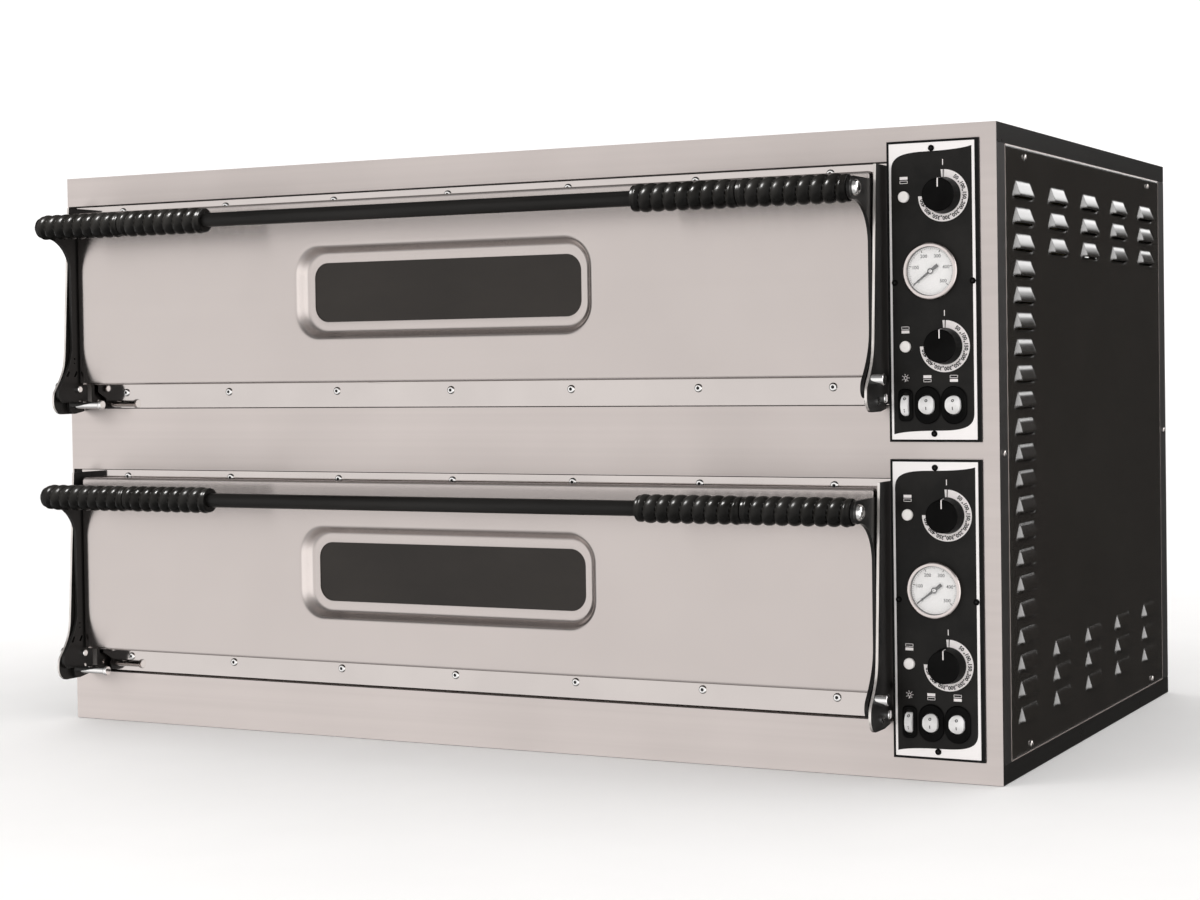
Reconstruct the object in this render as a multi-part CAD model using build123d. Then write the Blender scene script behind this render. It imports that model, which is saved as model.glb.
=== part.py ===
from build123d import *
import os

# Double-deck countertop pizza oven, in millimetres.
# X runs along the front, Y into the oven (the front faces -Y), Z is up.
# The origin is the centre of the flat base, at base level.

# ---------------------------------------------------------------- driving dimensions
WIDTH = 1325.0
DEPTH = 775.0
HEIGHT = 745.0
SHEET = 1.5                      # casing and liner sheet
LOWER_OPENING_BOTTOM = 67.0      # lower edge of the lower opening in the fascia
DECK_PITCH = 361.5
OPENING_HEIGHT = 277.0
OPENING_LEFT_MARGIN = 3.0
OPENING_RIGHT_MARGIN = 128.5
DOOR_CENTRE_FROM_LEFT = 607.0
DOOR_WIDTH = 1153.0
DOOR_HEIGHT = 235.0
DOOR_RISE = 32.0                 # door's lower edge above the opening's lower edge
CHAMBER_WIDTH = 1080.0
CHAMBER_DEPTH = 700.0

LEFT = -WIDTH / 2
RIGHT = WIDTH / 2
FRONT = -DEPTH / 2
BACK = DEPTH / 2
MIDDLE = LEFT + DOOR_CENTRE_FROM_LEFT
DECKS = {
    "lower": LOWER_OPENING_BOTTOM,
    "upper": LOWER_OPENING_BOTTOM + DECK_PITCH,
}

# Casing
FLANGE = 22.0                    # turned-over edge of the top cover and base tray
POST_FACE = 31.0                 # visible width of the corner posts on the sides
POST_TUBE = 20.0
GAP = 0.5                        # gap between neighbouring sheets
PANEL_RETURN = 10.0

# Chamber, heights above the opening's lower edge
FRAME_SETBACK = 8.0              # front frame behind the fascia's face
LINER_FLOOR = 40.0
LINER_CEILING = 236.0
MOUTH_BOTTOM = 62.0
MOUTH_TOP = 228.0
STONE_TOP = 72.0
STONE_THICKNESS = 15.0
HEATER_RADIUS = 4.25
FLOOR_HEATER = 49.0
CEILING_HEATER = 220.0
BAYS = 3                         # heater and stone bays across the chamber
FRAME_BACK = FRONT + FRAME_SETBACK + SHEET
LINER_BACK = FRAME_BACK + CHAMBER_DEPTH + SHEET
CHAMBER_LEFT = MIDDLE - CHAMBER_WIDTH / 2
CHAMBER_RIGHT = MIDDLE + CHAMBER_WIDTH / 2

# Door
DOOR_FACE = FRONT - 20.0
DOOR_REAR = FRONT - 2.0
PLUG_FACE = FRONT + 14.0         # inner step that enters the chamber mouth
PLUG_CLEARANCE = 8.0
WINDOW_HEIGHT_CENTRE = 148.5     # above the opening's lower edge
RECESS_DEPTH = 15.0
RECESS_OUTER = (435.0, 121.0, 36.0)      # width, height, corner radius
RECESS_INNER = (407.0, 100.0, 28.0)
GLASS_OPENING = (390.0, 76.0, 20.0)
GLASS_THICKNESS = 4.0

# Door hinge and handle
PIVOT_Y = FRONT - 30.0
PIVOT_RISE = 5.0                 # pivot above the opening's lower edge
PIN_RADIUS = 4.8
RUNNING_CLEARANCE = 0.05
LEFT_PIN_INWARD = 44.0           # how far each pivot pin stands in from the arm
RIGHT_PIN_INWARD = 0.5
ARM_THICKNESS = 4.0
CHEEK_THICKNESS = 3.0
CHEEK_INNER = 582.6              # from the door's centre line
ROD_Y = FRONT - 85.0
ROD_RISE = 244.0
ROD_RADIUS = 9.25
GRIP_LENGTH = 268.0
GRIP_RIBS = 8                    # on each of the two sleeves of one grip
GRIP_ROOT_RADIUS = 13.5
GRIP_CREST_RADIUS = 17.0
ARM_OUTER = DOOR_WIDTH / 2 + ARM_THICKNESS

# Control plates, positions from each plate's lower left corner
PLATE_WIDTH = 108.0
PLATE_HEIGHT = 341.0
PLATE_THICKNESS = 2.5
PLATE_LEFT = LEFT + 1196.7
PLATE_BOTTOMS = {"lower": 25.3, "upper": 25.3 + DECK_PITCH}
PLATE_FACE = FRONT - PLATE_THICKNESS
PLATE_SCREWS = ((53.0, 332.0), (53.0, 9.0), (8.0, 181.0), (100.0, 181.0))
KNOBS = {"top_heat": (66.5, 278.0), "floor_heat": (66.5, 108.0)}
LAMPS = ((20.0, 278.0), (20.0, 108.0))
THERMOMETER = (51.4, 193.0)
LIGHT_SWITCH = (19.6, 41.5)
MAIN_SWITCHES = {"top_heat": (45.5, 41.5), "floor_heat": (76.8, 41.5)}
COMPONENT_WINDOW = (12.0, 96.0, 22.0, 319.0)   # hole in the fascia: left, right, bottom, top

# Side louvres
LOUVRE_LENGTH = 82.0
LOUVRE_TOP_LENGTH = 55.0
LOUVRE_HEIGHT = 17.0
LOUVRE_PROUD = 6.0
LOUVRE_PITCH = 30.2
LOUVRE_ROWS = 21
LOUVRE_GROUP = 3
LOUVRE_FIRST = 682.0             # highest louvre's upper edge
LOUVRE_COLUMNS = (100.0, 242.0, 384.0, 526.0, 668.0)   # from the front


# ---------------------------------------------------------------- helpers
def block(x0, x1, y0, y1, z0, z1):
    centre = ((x0 + x1) / 2, (y0 + y1) / 2, (z0 + z1) / 2)
    return Pos(*centre) * Box(x1 - x0, y1 - y0, z1 - z0)


def rod_x(x0, x1, y, z, radius):
    return Pos((x0 + x1) / 2, y, z) * Rot(0, 90, 0) * Cylinder(radius, abs(x1 - x0))


def rod_y(x, y0, y1, z, radius):
    return Pos(x, (y0 + y1) / 2, z) * Rot(90, 0, 0) * Cylinder(radius, abs(y1 - y0))


def front_plane(x, y, z):
    """Plane facing -Y whose sketch axes are X and Z."""
    return Plane(origin=(x, y, z), x_dir=(1, 0, 0), z_dir=(0, -1, 0))


def side_plane(x):
    """Plane facing +X whose sketch axes are Y and Z."""
    return Plane(origin=(x, 0, 0), x_dir=(0, 1, 0), z_dir=(1, 0, 0))


def rounded_prism(x, z, y0, y1, shape):
    """Prism with rounded corners, between two depths; shape is width, height, corner radius."""
    width, height, radius = shape
    face = front_plane(x, y1, z) * RectangleRounded(width, height, radius)
    return extrude(face, y1 - y0)


def dome_screw_y(x, y, z, head_radius=4.5, head_height=2.4, shank_radius=2.0, length=5.0):
    """Dome-headed screw whose head stands on a face at depth y that faces -Y."""
    head = rod_y(x, y - head_height, y, z, head_radius)
    head = fillet(head.edges().sort_by(Axis.Y)[0], head_height * 0.8)
    return head + rod_y(x, y, y + length, z, shank_radius)


def side_screw(side, y, z, head_radius=4.5, head_height=2.4, shank_radius=2.0, length=6.0):
    """Dome-headed screw on the outer face of a side; side is +1 right, -1 left."""
    face = side * RIGHT
    head = rod_x(face, face + side * head_height, y, z, head_radius)
    outer_edge = head.edges().sort_by(Axis.X)[-1 if side > 0 else 0]
    head = fillet(outer_edge, head_height * 0.8)
    return head + rod_x(face - side * length, face, y, z, shank_radius)


def polyhedron(points, faces):
    sides = [Face(Wire.make_polygon([points[i] for i in face])) for face in faces]
    return Solid(Shell(sides))


def mirrored(part):
    """The same part on the other side of the door's centre line."""
    return mirror(part, Plane(origin=(MIDDLE, 0, 0), z_dir=(1, 0, 0)))


parts = {}


def keep(name, *solids):
    parts[name] = list(solids)


# ---------------------------------------------------------------- casing
def make_front_fascia():
    plate = block(LEFT, RIGHT, FRONT, FRONT + SHEET, 0, HEIGHT)
    for bottom in DECKS.values():
        plate -= block(LEFT + OPENING_LEFT_MARGIN, RIGHT - OPENING_RIGHT_MARGIN,
                       FRONT - 1, FRONT + 3, bottom, bottom + OPENING_HEIGHT)
    left, right, low, high = COMPONENT_WINDOW
    for bottom in PLATE_BOTTOMS.values():
        plate -= block(PLATE_LEFT + left, PLATE_LEFT + right,
                       FRONT - 1, FRONT + 3, bottom + low, bottom + high)
        for across, up in PLATE_SCREWS:
            plate -= rod_y(PLATE_LEFT + across, FRONT - 1, FRONT + 3, bottom + up, 1.8)
    return plate


def tray(z_plate, z_edge):
    """Sheet with all four edges turned towards z_edge."""
    low, high = min(z_plate, z_edge), max(z_plate, z_edge)
    shell = block(LEFT, RIGHT, FRONT + SHEET, BACK, low, high)
    inner_low = low - 1 if z_plate > z_edge else low + SHEET
    inner_high = high + 1 if z_plate < z_edge else high - SHEET
    shell -= block(LEFT + SHEET, RIGHT - SHEET, FRONT + 2 * SHEET, BACK - SHEET,
                   inner_low, inner_high)
    return shell


def make_chassis_frame():
    """Corner posts whose outer strips show beside the panels, tied by two rings of tube."""
    inset = 2 * SHEET + GAP
    frame = None
    for side in (-1, 1):
        x_out = side * (RIGHT - SHEET - GAP)
        x_in = side * (RIGHT - SHEET - GAP - POST_TUBE)
        x_face = side * RIGHT
        for y_out, y_strip, y_tube, direction in (
                (FRONT + SHEET, FRONT + POST_FACE, FRONT + 10.0, 1),
                (BACK, BACK - POST_FACE, BACK - SHEET - GAP, -1)):
            tube = block(*sorted((x_in, x_out)),
                         *sorted((y_tube, y_tube + direction * POST_TUBE)),
                         inset, HEIGHT - inset)
            strip = block(*sorted((x_face, x_face - side * 2.5)),
                          *sorted((y_out, y_strip)),
                          FLANGE + GAP, HEIGHT - FLANGE - GAP)
            post = tube + strip
            for y, z in post_screw_places():
                post -= rod_x(x_face - side * 2.0, x_face + side, y, z, 2.0)
            frame = post if frame is None else frame + post
    x_outer = RIGHT - SHEET - GAP
    for z0, z1 in ((SHEET + GAP, FLANGE - GAP), (HEIGHT - FLANGE + GAP, HEIGHT - SHEET - GAP)):
        for y0, y1 in ((FRONT + 10.0, FRONT + 10.0 + POST_TUBE),
                       (BACK - SHEET - GAP - POST_TUBE, BACK - SHEET - GAP)):
            frame += block(-x_outer, x_outer, y0, y1, z0, z1)
        for side in (-1, 1):
            frame += block(*sorted((side * x_outer, side * (x_outer - POST_TUBE))),
                           FRONT + 12.0, BACK - 4.0, z0, z1)
    return frame


def louvre(side, y, top):
    """Pressed scoop, open below, and the slot behind it."""
    half = LOUVRE_LENGTH / 2
    half_top = LOUVRE_TOP_LENGTH / 2
    half_lip = half * 0.72
    low = top - LOUVRE_HEIGHT
    x = side * RIGHT
    out = side * (RIGHT + LOUVRE_PROUD)
    faces = ((0, 1, 2, 3), (4, 5, 2, 3), (0, 4, 3), (1, 5, 2), (0, 1, 5, 4))
    scoop = polyhedron(((x, y - half, low), (x, y + half, low), (x, y + half_top, top),
                        (x, y - half_top, top), (out, y - half_lip, low),
                        (out, y + half_lip, low)), faces)
    back = side * (RIGHT - SHEET - 1)
    lip = side * (RIGHT + LOUVRE_PROUD - 1.3)
    wall = 1.6
    slot = polyhedron(((back, y - half + 2 * wall, low - 0.5), (back, y + half - 2 * wall, low - 0.5),
                       (back, y + half_top - wall, top - 2 * wall),
                       (back, y - half_top + wall, top - 2 * wall),
                       (lip, y - half_lip + wall, low - 0.5),
                       (lip, y + half_lip - wall, low - 0.5)), faces)
    return scoop, slot


def make_side_panel(side, full_first_column):
    """Folded panel between the posts, with columns of pressed louvres."""
    y0 = FRONT + POST_FACE + GAP
    y1 = BACK - POST_FACE - GAP
    z0 = FLANGE + GAP
    z1 = HEIGHT - FLANGE - GAP
    outer = sorted((side * RIGHT, side * (RIGHT - PANEL_RETURN)))
    inner = sorted((side * (RIGHT - SHEET), side * (RIGHT - PANEL_RETURN - 1)))
    panel = block(*outer, y0, y1, z0, z1)
    panel -= block(*inner, y0 + SHEET, y1 - SHEET, z0 + SHEET, z1 - SHEET)
    scoops = []
    slots = []
    for column, distance in enumerate(LOUVRE_COLUMNS):
        for row in range(LOUVRE_ROWS):
            in_group = row < LOUVRE_GROUP or row >= LOUVRE_ROWS - LOUVRE_GROUP
            if in_group or (column == 0 and full_first_column):
                top = LOUVRE_FIRST - row * LOUVRE_PITCH
                scoop, slot = louvre(side, FRONT + distance, top)
                scoops.append(scoop)
                slots.append(slot)
    panel = panel.fuse(*scoops).cut(*slots)
    for y, z in side_screw_places():
        panel -= rod_x(side * (RIGHT - 4), side * (RIGHT + 1), y, z, 2.0)
    return panel


def side_screw_places():
    """Four screws near the panel's corners."""
    places = []
    for distance in (106.0, 680.0):
        places.append((FRONT + distance, HEIGHT - 33.5))
        places.append((FRONT + distance, 31.5))
    return places


def post_screw_places():
    return ((FRONT + POST_FACE / 2, 373.0), (BACK - POST_FACE / 2, 373.0))


VENT_RISE = 200.0                # steam spigot above the opening's lower edge
VENT_X = MIDDLE + 300.0
VENT_RADIUS = 24.0
GLAND_X = RIGHT - 90.0
GLAND_Z = 90.0
GLAND_RADIUS = 12.5
REAR_PROUD = 22.0


def make_rear_panel():
    x1 = RIGHT - SHEET - GAP - 1
    panel = block(-x1, x1, BACK - SHEET, BACK, FLANGE + GAP, HEIGHT - FLANGE - GAP)
    for side in (-1, 1):
        edge = sorted((side * (x1 + 1), side * (RIGHT - POST_TUBE / 2)))
        panel -= block(*edge, BACK - SHEET - 1, BACK + 1, 0, HEIGHT)
    for bottom in DECKS.values():
        panel -= rod_y(VENT_X, BACK - 5, BACK + 5, bottom + VENT_RISE, VENT_RADIUS)
    panel -= rod_y(GLAND_X, BACK - 5, BACK + 5, GLAND_Z, GLAND_RADIUS)
    slot_height = 70.0
    for group_x in (-380.0, 520.0):
        for group_z in (150.0, 590.0):
            for i in range(9):
                x = group_x + (i - 4) * 16.0
                panel -= rounded_prism(x, group_z, BACK - 4, BACK + 2, (6.0, slot_height, 2.9))
    for x, z in rear_screw_places():
        panel -= rod_y(x, BACK - 4, BACK + 2, z, 2.0)
    return panel


def rear_screw_places():
    return [(x, z) for x in (-560.0, 0.0, 560.0) for z in (34.0, HEIGHT - 34.0)]


def make_casing_screws():
    screws = []
    for side in (-1, 1):
        for y, z in side_screw_places():
            screws.append(side_screw(side, y, z))
        for y, z in post_screw_places():
            screws.append(side_screw(side, y, z, length=2.0))
    for x, z in rear_screw_places():
        screw = dome_screw_y(x, 0, z)
        screws.append(Pos(0, BACK, 0) * Rot(0, 0, 180) * Pos(-2 * x, 0, 0) * screw)
    return screws


# ---------------------------------------------------------------- chambers
def heater_legs(bay):
    """X of the four long legs of the heater in one bay."""
    bay_width = CHAMBER_WIDTH / BAYS
    start = CHAMBER_LEFT + bay * bay_width
    return [start + bay_width * (0.14 + 0.24 * leg) for leg in range(4)]


HEATER_FRONT = FRAME_BACK + 45.0
HEATER_REAR = LINER_BACK - 60.0
HEATER_TAIL = LINER_BACK + 42.0
HANGER_DEPTHS = (FRAME_BACK + 130.0, FRAME_BACK + 520.0)
HANGER_THICKNESS = 2.0


def make_heater(bay, z):
    """Sheathed element: one tube through four legs, both ends out through the back."""
    legs = heater_legs(bay)
    path = FilletPolyline(
        (legs[0], HEATER_TAIL, z), (legs[0], HEATER_FRONT, z),
        (legs[1], HEATER_FRONT, z), (legs[1], HEATER_REAR, z),
        (legs[2], HEATER_REAR, z), (legs[2], HEATER_FRONT, z),
        (legs[3], HEATER_FRONT, z), (legs[3], HEATER_TAIL, z), radius=36)
    start = Plane(origin=path @ 0, z_dir=path % 0)
    return sweep(start * Circle(HEATER_RADIUS), path)


def heater_passages(bottom):
    """Clearance holes for every long leg of the heaters of one deck."""
    return [rod_y(x, HEATER_FRONT, HEATER_TAIL, bottom + rise, HEATER_RADIUS + 0.3)
            for bay in range(BAYS) for x in heater_legs(bay)
            for rise in (FLOOR_HEATER, CEILING_HEATER)]


def make_chamber_rails(bottom):
    """Stone rails on the chamber floor, and the strips that hold the heaters."""
    floor = bottom + LINER_FLOOR
    ceiling = bottom + LINER_CEILING
    rail_top = bottom + STONE_TOP - STONE_THICKNESS
    rail_half = 6.0
    bay_width = CHAMBER_WIDTH / BAYS
    seams = [CHAMBER_LEFT + seam * bay_width for seam in range(BAYS + 1)]
    rails = [block(max(x - rail_half, CHAMBER_LEFT), min(x + rail_half, CHAMBER_RIGHT),
                   FRAME_BACK, LINER_BACK - SHEET, floor, rail_top) for x in seams]
    hangers = []
    for y in HANGER_DEPTHS:
        back = y + HANGER_THICKNESS
        for left, right in zip(seams, seams[1:]):
            x0 = max(left + rail_half, CHAMBER_LEFT)
            x1 = min(right - rail_half, CHAMBER_RIGHT)
            hangers.append(block(x0, x1, y, back, floor, floor + 14.0))
        hangers.append(block(CHAMBER_LEFT, CHAMBER_RIGHT, y, back, ceiling - 24.0, ceiling))
    passages = heater_passages(bottom)
    return rails + [hanger.cut(*passages) for hanger in hangers]


def make_chamber_liner(bottom):
    """Folded box open at the front, with holes for heaters, lamp and steam spigot."""
    floor = bottom + LINER_FLOOR
    ceiling = bottom + LINER_CEILING
    liner = block(CHAMBER_LEFT - SHEET, CHAMBER_RIGHT + SHEET, FRAME_BACK, LINER_BACK,
                  floor - SHEET, ceiling + SHEET)
    liner -= block(CHAMBER_LEFT, CHAMBER_RIGHT, FRAME_BACK - 1, LINER_BACK - SHEET,
                   floor, ceiling)
    liner = liner.cut(*heater_passages(bottom))
    liner -= rod_x(CHAMBER_RIGHT - 1, CHAMBER_RIGHT + 5, LAMP_Y, bottom + LAMP_RISE, LAMP_RADIUS)
    liner -= rod_y(VENT_X, LINER_BACK - 5, LINER_BACK + 2, bottom + VENT_RISE, VENT_RADIUS)
    return liner


def make_front_frame(bottom):
    """Polished plate behind the fascia's opening, with the chamber's mouth in it."""
    margin = 4.0
    plate = block(LEFT + 2.5, RIGHT - OPENING_RIGHT_MARGIN + margin,
                  FRONT + FRAME_SETBACK, FRAME_BACK,
                  bottom - margin, bottom + OPENING_HEIGHT + margin)
    plate -= block(CHAMBER_LEFT, CHAMBER_RIGHT, FRONT, FRAME_BACK + 5,
                   bottom + MOUTH_BOTTOM, bottom + MOUTH_TOP)
    for x, z in frame_screw_places(bottom):
        plate -= rod_y(x, FRONT, FRAME_BACK + 5, z, 2.0)
    return plate


FRAME_SCREW_PITCH = 172.3


def frame_screw_places(bottom):
    return [(MIDDLE + n * FRAME_SCREW_PITCH, bottom + rise)
            for rise in (21.0, 268.0) for n in range(-3, 4)]


def make_front_frame_screws():
    return [dome_screw_y(x, FRONT + FRAME_SETBACK, z)
            for bottom in DECKS.values() for x, z in frame_screw_places(bottom)]


def make_insulation(bottom):
    """Mineral wool round the liner on five sides."""
    clearance = 0.5
    rear = LINER_BACK + 32.0
    wool = block(LEFT + 24.0, RIGHT - OPENING_RIGHT_MARGIN - 6.0, FRAME_BACK + 20.0, rear,
                 bottom - 3.0, bottom + 288.0)
    wool -= block(CHAMBER_LEFT - SHEET - clearance, CHAMBER_RIGHT + SHEET + clearance,
                  FRAME_BACK, LINER_BACK + clearance,
                  bottom + LINER_FLOOR - SHEET - clearance,
                  bottom + LINER_CEILING + SHEET + clearance)
    passages = []
    for bay in range(BAYS):
        legs = heater_legs(bay)
        for x in (legs[0], legs[3]):
            for rise in (FLOOR_HEATER, CEILING_HEATER):
                passages.append(rod_y(x, LINER_BACK - 5, rear + 5, bottom + rise, 6.0))
    wool = wool.cut(*passages)
    wool -= rod_x(CHAMBER_RIGHT, CHAMBER_RIGHT + 80, LAMP_Y, bottom + LAMP_RISE,
                  LAMP_RADIUS + 3)
    wool -= rod_y(VENT_X, LINER_BACK - 5, rear + 5, bottom + VENT_RISE, VENT_RADIUS + 1)
    return wool


def make_stones(bottom):
    """Two rows of refractory tiles laid on the floor rails."""
    bay_width = CHAMBER_WIDTH / BAYS
    joint = 1.5
    half_depth = (CHAMBER_DEPTH - 20.0) / 2
    tiles = []
    for bay in range(BAYS):
        x0 = CHAMBER_LEFT + bay * bay_width
        for row in range(2):
            y0 = FRAME_BACK + 15.0 + row * half_depth
            tile = block(x0 + joint, x0 + bay_width - joint, y0 + joint, y0 + half_depth - joint,
                         bottom + STONE_TOP - STONE_THICKNESS, bottom + STONE_TOP)
            tiles.append(chamfer(tile.faces().sort_by(Axis.Z)[-1].edges(), 1.2))
    return tiles


LAMP_Y = FRAME_BACK + 95.0
LAMP_RISE = 165.0
LAMP_RADIUS = 20.0


def make_lamp(bottom):
    """Threaded holder through the chamber wall, and the bulb inside it."""
    z = bottom + LAMP_RISE
    holder = rod_x(CHAMBER_RIGHT, CHAMBER_RIGHT + 45, LAMP_Y, z, LAMP_RADIUS)
    holder += rod_x(CHAMBER_RIGHT - 4, CHAMBER_RIGHT, LAMP_Y, z, LAMP_RADIUS + 7)
    holder -= rod_x(CHAMBER_RIGHT - 5, CHAMBER_RIGHT + 30, LAMP_Y, z, LAMP_RADIUS - 3)
    outline = [
        ThreePointArc((-10, 0), (-6, 8), (6, 8)),
        Line((6, 8), (30, 8)),
        Line((30, 8), (30, 0)),
        Line((30, 0), (-10, 0)),
    ]
    bulb = Pos(CHAMBER_RIGHT, LAMP_Y, z) * revolve(make_face(outline), Axis.X)
    return holder, bulb


def make_lamp_glass(bottom):
    """Screwed-on glass dome over the bulb, standing into the chamber."""
    centre = Pos(CHAMBER_RIGHT - 4, LAMP_Y, bottom + LAMP_RISE)
    dome = centre * (Sphere(LAMP_RADIUS + 5) - Sphere(LAMP_RADIUS + 2))
    keep_box = block(CHAMBER_RIGHT - 60, CHAMBER_RIGHT - 4, LAMP_Y - 40, LAMP_Y + 40,
                     bottom, bottom + 300)
    return dome & keep_box


# ---------------------------------------------------------------- door hinges
def make_cheek(bottom):
    """Right-hand plate beside the door: a foot in front, a flange on the front frame."""
    rear = FRONT + FRAME_SETBACK
    top = bottom + 274
    outline = [
        Line((rear, bottom + 1), (rear, top)),
        Line((rear, top), (FRONT - 27, top)),
        Line((FRONT - 27, top), (FRONT - 39, bottom + 83)),
        Spline((FRONT - 39, bottom + 83), (FRONT - 45, bottom + 50), (FRONT - 59, bottom + 28),
               (FRONT - 65, bottom + 11), tangents=((-0.06, -1), (0, -1))),
        ThreePointArc((FRONT - 65, bottom + 11), (FRONT - 60, bottom - 2), (FRONT - 47, bottom - 7)),
        Line((FRONT - 47, bottom - 7), (FRONT - 21, bottom - 7)),
        Line((FRONT - 21, bottom - 7), (FRONT - 2, bottom - 4)),
        Line((FRONT - 2, bottom - 4), (FRONT - 2, bottom + 1)),
        Line((FRONT - 2, bottom + 1), (rear, bottom + 1)),
    ]
    inner = MIDDLE + CHEEK_INNER
    cheek = extrude(side_plane(inner) * make_face(outline), CHEEK_THICKNESS)
    cheek += block(inner - 7, inner, rear - 3, rear, bottom + 6, bottom + 262)
    cheek -= rod_x(inner - 1, inner + 5, PIVOT_Y, bottom + PIVOT_RISE, PIN_RADIUS)
    for y, rise, radius in (STOP_STUD, CHEEK_BOLT):
        cheek -= rod_x(inner - 1, inner + 5, FRONT + y, bottom + rise, radius * 0.5)
    return cheek


# Studs on the cheeks: y from the fascia, rise above the opening, head radius
STOP_STUD = (-48.0, 30.0, 6.5)
CHEEK_BOLT = (-12.0, 8.0, 5.5)
STOP_STUD_LENGTH = 15.0
CHEEK_BOLT_LENGTH = 4.0


def make_hinge_pin(bottom, inward):
    """Right-hand pivot pin, fixed in the cheek, with a round head at its inner end."""
    z = bottom + PIVOT_RISE
    outer = MIDDLE + CHEEK_INNER + CHEEK_THICKNESS
    inner = MIDDLE + DOOR_WIDTH / 2 - inward
    head = rod_x(inner - 5, inner, PIVOT_Y, z, PIN_RADIUS + 1.6)
    head = fillet(head.edges().filter_by(GeomType.CIRCLE), 1.5)
    return head + rod_x(inner, outer + 1.5, PIVOT_Y, z, PIN_RADIUS)


def make_cheek_stud(bottom, place, length):
    """Round stud on the outer face of the right-hand cheek."""
    y, rise, radius = place
    outer = MIDDLE + CHEEK_INNER + CHEEK_THICKNESS
    stud = rod_x(outer, outer + length, FRONT + y, bottom + rise, radius)
    stud = fillet(stud.edges().sort_by(Axis.X)[-1], 1.5)
    return stud + rod_x(outer - CHEEK_THICKNESS, outer, FRONT + y, bottom + rise, radius * 0.5)


# ---------------------------------------------------------------- doors
def door_block(bottom, inset, y0, y1):
    half = DOOR_WIDTH / 2 - inset
    low = bottom + DOOR_RISE + inset
    high = bottom + DOOR_RISE + DOOR_HEIGHT - inset
    return block(MIDDLE - half, MIDDLE + half, y0, y1, low, high)


def grown(shape, amount):
    width, height, radius = shape
    return (width + 2 * amount, height + 2 * amount, radius + amount)


def window_recess(bottom, y_front, y_ring, extra):
    """Dished form from the door's face down to the ring round the glass."""
    z = bottom + WINDOW_HEIGHT_CENTRE
    faces = []
    for y, shape in ((y_front, RECESS_OUTER), (y_ring, RECESS_INNER)):
        width, height, radius = grown(shape, extra)
        faces.append(front_plane(MIDDLE, y, z) * RectangleRounded(width, height, radius))
    return loft(faces)


def window_hole(bottom, y0, y1, extra=0.0):
    z = bottom + WINDOW_HEIGHT_CENTRE
    return rounded_prism(MIDDLE, z, y0, y1, grown(GLASS_OPENING, extra))


def make_door_skin(bottom):
    """Pressed outer shell with the dished window."""
    shell = door_block(bottom, 0, DOOR_FACE, DOOR_REAR)
    shell = fillet(shell.faces().sort_by(Axis.Y)[0].edges(), 4.0)
    shell -= window_recess(bottom, DOOR_FACE, DOOR_FACE + RECESS_DEPTH, 0)
    hollow = door_block(bottom, SHEET, DOOR_FACE + SHEET, DOOR_REAR + 1)
    hollow = fillet(hollow.faces().sort_by(Axis.Y)[0].edges(), 2.5)
    recess_wall = window_recess(bottom, DOOR_FACE + SHEET, DOOR_FACE + RECESS_DEPTH + SHEET, SHEET)
    shell -= hollow - recess_wall
    shell -= window_hole(bottom, DOOR_FACE - 1, DOOR_REAR + 1)
    for side in (-1, 1):
        for rise in ARM_SCREW_RISES:
            edge = MIDDLE + side * DOOR_WIDTH / 2
            shell -= rod_x(edge - 4, edge + 4, ARM_SCREW_Y, bottom + rise, 2.5)
    return shell


def plug_block(bottom, inset, y0, y1):
    clear = PLUG_CLEARANCE + inset
    return block(CHAMBER_LEFT + clear, CHAMBER_RIGHT - clear, y0, y1,
                 bottom + MOUTH_BOTTOM + clear, bottom + MOUTH_TOP - clear)


def make_door_liner(bottom):
    """Inner pan: a flat border that closes the skin and a raised step in the mouth."""
    pan = door_block(bottom, SHEET + 0.5, DOOR_REAR - SHEET, DOOR_REAR)
    pan += plug_block(bottom, 0, DOOR_REAR - SHEET, PLUG_FACE)
    pan -= plug_block(bottom, SHEET, DOOR_REAR - SHEET - 1, PLUG_FACE - SHEET)
    pan -= window_hole(bottom, DOOR_REAR - 5, PLUG_FACE + 1)
    return pan


def make_door_glass(bottom):
    """Outer and inner panes."""
    z = bottom + WINDOW_HEIGHT_CENTRE
    panes = []
    for y in (DOOR_FACE + RECESS_DEPTH + SHEET, PLUG_FACE - SHEET - GLASS_THICKNESS):
        panes.append(rounded_prism(MIDDLE, z, y, y + GLASS_THICKNESS, grown(GLASS_OPENING, 8.0)))
    return panes


def make_door_insulation(bottom):
    wool = door_block(bottom, SHEET + 3.0, DOOR_FACE + SHEET + 0.5, DOOR_REAR - SHEET - 0.5)
    wool += plug_block(bottom, SHEET + 0.5, DOOR_REAR - SHEET - 1.0, PLUG_FACE - SHEET - 0.5)
    z = bottom + WINDOW_HEIGHT_CENTRE
    wool -= rounded_prism(MIDDLE, z, DOOR_FACE, PLUG_FACE, grown(RECESS_OUTER, 4.0))
    return wool


ARM_SCREW_Y = FRONT - 11.0
ARM_SCREW_RISES = (60.0, 150.0, 240.0)
ARM_REAR = FRONT - 4.0
ARM_FRONT = FRONT - 32.0
LUG_RADIUS = 11.0


def bolt_place(bottom):
    """Bolt below the door's edge, on the arm's inner face."""
    return FRONT - 21.5, bottom + 26.5


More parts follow.
